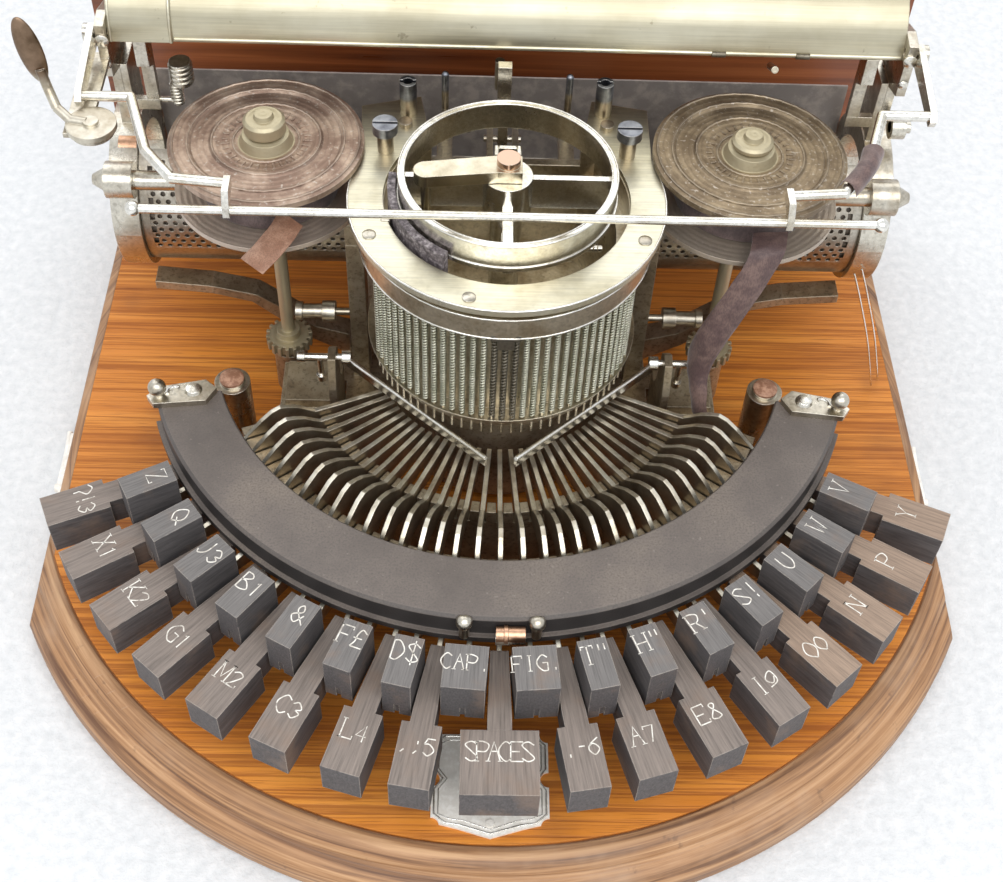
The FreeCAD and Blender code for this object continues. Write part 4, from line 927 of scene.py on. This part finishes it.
GLYPHS = {
    "A": "00 26 40/13 33", "B": "00 06/~06 26 35 24 03/~03 23 41 20 00", "C": "~45 26 04 02 20 41",
    "D": "00 06/~06 26 43 20 00", "E": "00 06/06 46 45/03 33/00 40 41", "F": "00 06/06 46 45/03 33",
    "G": "~45 26 04 02 20 40/40 43 23", "H": "00 06/40 46/03 43", "I": "20 26", "J": "~36 32 10 01",
    "K": "00 06/46 02/13 40", "L": "00 06/00 40 41", "M": "00 06/06 21 46/46 40", "N": "00 06/06 40/40 46",
    "O": "~20 02 04 26 44 42 20", "P": "00 06/~06 26 45 33 03", "Q": "~20 02 04 26 44 42 20/22 50",
    "R": "00 06/~06 26 45 33 03/23 40", "S": "~45 26 05 23 41 20 01", "T": "20 26/05 06 46 45",
    "U": "~06 02 20 42 46", "V": "06 20 46", "W": "06 10 25 30 46", "X": "00 46/40 06",
    "Y": "06 23 46/23 20", "Z": "05 06 46 00 40 41", "&": "~50 14 26 34 02 20 43",
    "0": "~20 02 04 26 44 42 20", "1": "15 26 20", "2": "~05 26 45 22 00/00 40 41",
    "3": "~05 26 44 23/~23 42 20 01", "4": "30 36 02 42", "5": "46 16 04/~04 24 42 20 01",
    "6": "~46 14 02 20 42 24 03", "7": "05 06 46 20", "8": "~20 01 35 26 15 41 20",
    "9": "~01 42 46 26 04 22 44", "?": "~05 26 44 22 21/20 21", "!": "22 26/20 21", "-": "13 33",
    ".": "20 21", ",": "21 10", ";": "21 10/23 24", "'": "24 26", '"': "14 16/34 36",
    "$": "~45 26 05 23 41 20 01/2a 27", "£": "~45 26 14 12 00/03 33/00 40"}
LEGENDS = dict(pair.split("=") for pair in """
    question=?!3 x=X1 k=K2 g=G1 m=M2 c=C3 l=L4 comma=,;5 space=SPACES period=.-6 a=A7 e=E8 i=I9 o=O0 n=N
    p=P y=Y z=Z q=Q j=J3 b=B1 ampersand=& f=F£ d=D$ cap=CAP. fig=FIG. t=T" h=H" r=R' s=S! u=U w=W v=V
    """.split())
SERIFED = "AFHIKLMNPRTVWXY"


def stroke_along(points, width):
    """Flat raised line along points on a key's top."""
    half = width / 2
    section = [(-half, -LEGEND_SINK), (half, -LEGEND_SINK), (half, LEGEND_RISE), (-half, LEGEND_RISE)]
    return sweep(points, section, UP)


def glyph(letter, corner, right, up, tall):
    """Closed thin strokes of one character, from the lower left corner of its cell."""
    parts = []
    cell = tall / 6.0 * MM
    for stroke in GLYPHS[letter].split("/"):
        smooth = stroke.startswith("~")
        grid = [(int(c[0]), -1 if c[1] == "a" else int(c[1])) for c in stroke.lstrip("~").split()]
        points = [corner + (right * x * COLUMN_SHARE + up * y) * cell for x, y in grid]
        parts.append(stroke_along(smooth_path(points, 5) if smooth else points, STROKE))
        if letter in SERIFED and not smooth:
            reach = right * cell * SERIF_REACH
            parts += [stroke_along([points[n] - reach, points[n] + reach], SERIF)
                      for n in (0, -1) if grid[n][1] in (0, 6)]
    return parts


def make_legends():
    """Each key's characters across its top, near the inner end."""
    for key, text in LEGENDS.items():
        name = "key_" + key
        a = AZIMUTHS[name]
        outward, right = Vector((math.sin(a), -math.cos(a), 0)), Vector((math.cos(a), math.sin(a), 0))
        is_back, is_long = name in BACK_KEYS, len(text) > 3
        tall = LONG_BACK_TALL if is_back and is_long else LETTER_TALL
        pitch = tall * (0.6 if len(text) == 3 else 0.53 if is_long and not is_back else 0.72)
        radius = BACK_LEGEND_R if is_back else FRONT_LEGEND_R
        width = pitch * (len(text) - 1) + tall * 0.57
        parts = []
        for k, letter in enumerate(text):
            start = outward * radius * MM + right * (k * pitch - width / 2) * MM
            start.z = (KEY_TOPS[name] + BOARD_TOP) * MM
            share = DIGIT_SHARE if letter.isdigit() and k else 1.0
            parts += glyph(letter, start, right, -outward, tall * share)
        put_mesh("legend_" + key, parts, "legend", "lever_" + key)


# Fittings

def make_drum_details():
    """Hub bracket, cross rod thread, the drum's screws, rims and studs, and the shuttle's tab."""
    foot = PLATE_TOP + 0.1
    bracket = [slab(x0, x1, y0, BRACKET_REAR, foot, BRACKET_TOP)
               for x0, x1, y0 in ((-4.2, -2.8, 9.0), (2.8, 4.2, 9.0), (-2.8, 2.8, 12.0))]
    rounded(put_mesh("hub_bracket", bracket, "nickel"), 0.35)
    thread = [hoop(THREAD_FROM + THREAD_PITCH * k, ROD_Y, ROD_H, 1.12, 0.22, "X")
              for k in range(THREAD_TURNS)]
    put_mesh("rod_thread", thread, "old_nickel", smooth=60.0)
    dome = [(0, 0), (2.1, 0), (2.1, 0.4), (1.47, 0.72), (0, 0.8)]
    screws = [lathe(dome, at(x, y, PLATE_TOP - 0.1), UP, 24) for x, y in PLATE_SCREWS]
    put_mesh("plate_screws", screws, "steel", smooth=50.0)
    rims = [hoop(0, 0, h, radius, thick, "Z", 163, 214)
            for h, radius, thick in ((PLATE_TOP, 49.2, 0.35), (104.9, 46.4, 0.4), (97.1, 46.4, 0.4))]
    rims += [hoop(0, 0, RING_TOP, RING_OUT - 0.2, 0.35), hoop(0, 0, RING_TOP, RING_IN + 0.2, 0.3)]
    put_mesh("drum_rims", rims, "bright", smooth=60.0)
    studs = [post(-12.6, 31.2, foot, 114.5, 1.6), post(12.2, 31.4, foot, 113.2, 1.4)]
    put_mesh("ring_studs", studs, "dark_wire")
    tab = [slab(-38.4, -35.4, -12.5, -7.5, 104.0, 112.0)]
    rounded(put_mesh("shuttle_tab", tab, "nickel", "shuttle_body"), 0.4)


def make_bar_edges():
    """Bright rounded top edge of each universal bar."""
    for side, name in ((1, "bar_left"), (-1, "bar_right")):
        edge = rod((side * -50.6, -11.1, 46.6), (side * -4.9, -51.7, 46.6), 0.85, 12)
        put_mesh(name + "_edge", [edge], "bright", name + "_body", 60.0)


def make_cover_details():
    """Copper sleeve, post plugs and bosses of the key cover, and the bare shield's raised double border."""
    sleeve = [bar(-1.4, 7.4, SLEEVE_Y, SLEEVE_H, 2.4, 24), bar(1.0, 2.2, SLEEVE_Y, SLEEVE_H, 2.8)]
    put_mesh("cover_sleeve", sleeve, "copper")
    plug = [(0, 0), (4.1, 0), (4.1, 0.9), (3.2, 1.5), (0, 1.7)]
    plugs = [lathe(plug, at(x, -15.5, 41.0), UP) for x in (-90.5, 90.5)]
    put_mesh("post_plugs", plugs, "leather")
    hooks = [hoop(x, -26.4, 46.4, 2.4, 0.7, "Z", start, turn)
             for x, start, turn in ((-107.5, 200, -140), (107.5, -20, 140))]
    boss = [(0, 0), (3.0, 0), (2.4, 1.2), (0, 1.8)]
    bosses = [lathe(boss, at(x, -25.2, 46.3), UP) for x in (-101.5, 101.5)]
    put_mesh("cap_bosses", hooks + bosses, "bright")
    borders = []
    for inset, thick in ((0.7, 0.35), (2.0, 0.2)):
        right = [(SHIELD_X + half - inset, y + way * inset) for half, y, way in SHIELD_HALF]
        left = [(2 * SHIELD_X - x, y) for x, y in reversed(right)]
        outline = left[-1:] + right + [(SHIELD_X, SHIELD_TIP + inset)] + left
        borders.append(sweep([at(x, y, BORDER_H) for x, y in outline], circle(thick, 6), UP))
    put_mesh("shield_border", borders, "bright", smooth=60.0)


def knurled_knob():
    """Ribbed disc knob of the carriage's left end on its threaded stem and cross pin."""
    parts = [post(KNOB_X, KNOB_Y, KNOB_H + k * 0.9, KNOB_H + 1.0 + k * 0.9, 4.0 if k % 2 else 3.6, 24)
             for k in range(9)]
    parts.append(post(KNOB_STEM_X, KNOB_Y, 101.0, 109.6, 1.9))
    parts += [hoop(KNOB_STEM_X, KNOB_Y, 102.0 + k * 1.3, 1.95, 0.3) for k in range(6)]
    parts.append(bar(-118.0, -108.4, 54.6, 102.4, 1.0, 12))
    return parts


def make_carriage_details():
    """Beads, marks, roller, collars, screws, knobs and pegs of the carriage."""
    front = COVER_Y - COVER_R
    beads = [bar(-105.6, 125.4, front + 0.2, COVER_H + 0.9, 0.7)]
    beads += [hoop(x, COVER_Y, COVER_H, COVER_R + 0.55, 0.6, "X", 0, 180) for x in (-125.4, -106.5)]
    put_mesh("cover_beads", beads, "plate_nickel", "carriage", 60.0)
    roller = bar(-129.6, -123.4, ROLLER_Y, ROLLER_H, ROLLER_R, 32)
    put_mesh("copper_roller", [roller], "copper", "carriage")
    collars = [bar(x, x + 6.5, TUBE_Y, TUBE_H, COLLAR_R, 32) for x in (-131.0, 124.5)]
    put_mesh("tube_collars", collars, "copper", "carriage")
    put_mesh("left_knurled_knob", knurled_knob(), "nickel", "carriage", smooth=50.0)
    screws = [lathe(head, at(x, END_SCREW_Y, h), (0, -1, 0), 20)
              for h, head in ((133.5, [(0, 0), (2.3, 0), (2.3, 0.4), (1.5, 0.9), (0, 1.0)]),
                              (124.5, [(0, 0), (1.7, 0), (1.2, 0.6), (0, 0.7)]))
              for x in (-END_SCREW_X, END_SCREW_X)]
    put_mesh("end_screws", screws, "bright", "carriage", smooth=50.0)
    disc = [bar(129.0, 133.8, THUMB_Y, THUMB_H, 4.0, 28), bar(129.0, 135.8, THUMB_Y, THUMB_H, 2.0)]
    put_mesh("right_thumb_disc", disc, "nickel", "carriage", smooth=50.0)
    marks = [bar(x - 2.2, x + 2.2, front - 0.1, COVER_H + 0.7, 1.0) for x in (67.0, 94.0)]
    put_mesh("cover_marks", marks, "dark_wire", "carriage")
    pegs = [rod((86.5, 56.0, 121.0), (86.5, 48.5, 125.0), 1.2, 14), post(-2.4, 52.5, 112.0, 123.0, 1.6, 14)]
    put_mesh("paper_pegs", pegs, "old_nickel", "carriage")


def make_wires():
    """Two thin bright wires from below the carriage's right end down to the board."""
    for k, (x, y) in enumerate(FEED_WIRES, 1):
        path = smooth_path([at(x, y, 57.0), at(x + 5, y - 0.6, 44.0), at(x + 12, y - 1.5, 24.0),
                            at(x + 18.5, y - 2.5, 1.0)], 10)
        put_mesh("feed_wire_%d" % k, [sweep(path, circle(FEED_WIRE_R, 8))], "bright", smooth=60.0)


# Camera, light and floor

def make_camera():
    data = bpy.data.cameras.new("camera")
    camera = put_object("camera", data)
    pitch, yaw, roll = (math.radians(a) for a in (CAMERA_PITCH, CAMERA_YAW, CAMERA_ROLL))
    forward = Vector((math.cos(pitch) * math.sin(yaw), math.cos(pitch) * math.cos(yaw), -math.sin(pitch)))
    right = Vector((math.cos(yaw), -math.sin(yaw), 0))
    up = right.cross(forward)
    across = right * math.cos(roll) + up * math.sin(roll)
    upright = up * math.cos(roll) - right * math.sin(roll)
    turn = Matrix((across, upright, -forward)).transposed()
    camera.matrix_world = Matrix.Translation(at(*CAMERA_AT)) @ turn.to_4x4()
    data.sensor_width = SENSOR
    data.lens = SENSOR * FOCAL_PIXELS / PHOTO_WIDTH
    data.clip_start, data.clip_end = 0.01, 50.0
    bpy.context.scene.camera = camera


def make_light():
    """Soft sky and two rectangular panels that face the machine."""
    world = bpy.data.worlds.new("studio")
    bpy.context.scene.world = world
    world.use_nodes = True
    background = world.node_tree.nodes["Background"]
    background.inputs["Color"].default_value = SKY
    background.inputs["Strength"].default_value = SKY_STRENGTH
    for name, place, size, power in LAMPS:
        data = bpy.data.lights.new(name, "AREA")
        data.shape = "RECTANGLE"
        data.size, data.size_y = size
        data.energy = power
        lamp = put_object(name, data)
        lamp.location = place
        lamp.rotation_mode = "QUATERNION"
        lamp.rotation_quaternion = (Vector(LAMP_TARGET) - Vector(place)).to_track_quat("-Z", "Y")


def make_floor():
    corners = [(x * FLOOR_HALF, y * FLOOR_HALF, 0) for x, y in ((-1, -1), (1, -1), (1, 1), (-1, 1))]
    mesh = bpy.data.meshes.new("floor")
    mesh.from_pydata(corners, [], [(0, 1, 2, 3)])
    floor = put_object("floor", mesh)
    mesh.materials.append(PAINTS["floor_cloth"])


dress_nodes()
make_springs()
make_basket()
make_ribbons()
make_spool_details()
make_legends()
make_drum_details()
make_bar_edges()
make_cover_details()
make_carriage_details()
make_wires()

make_camera()
make_light()
make_floor()
bpy.context.scene.view_settings.view_transform = "Standard"
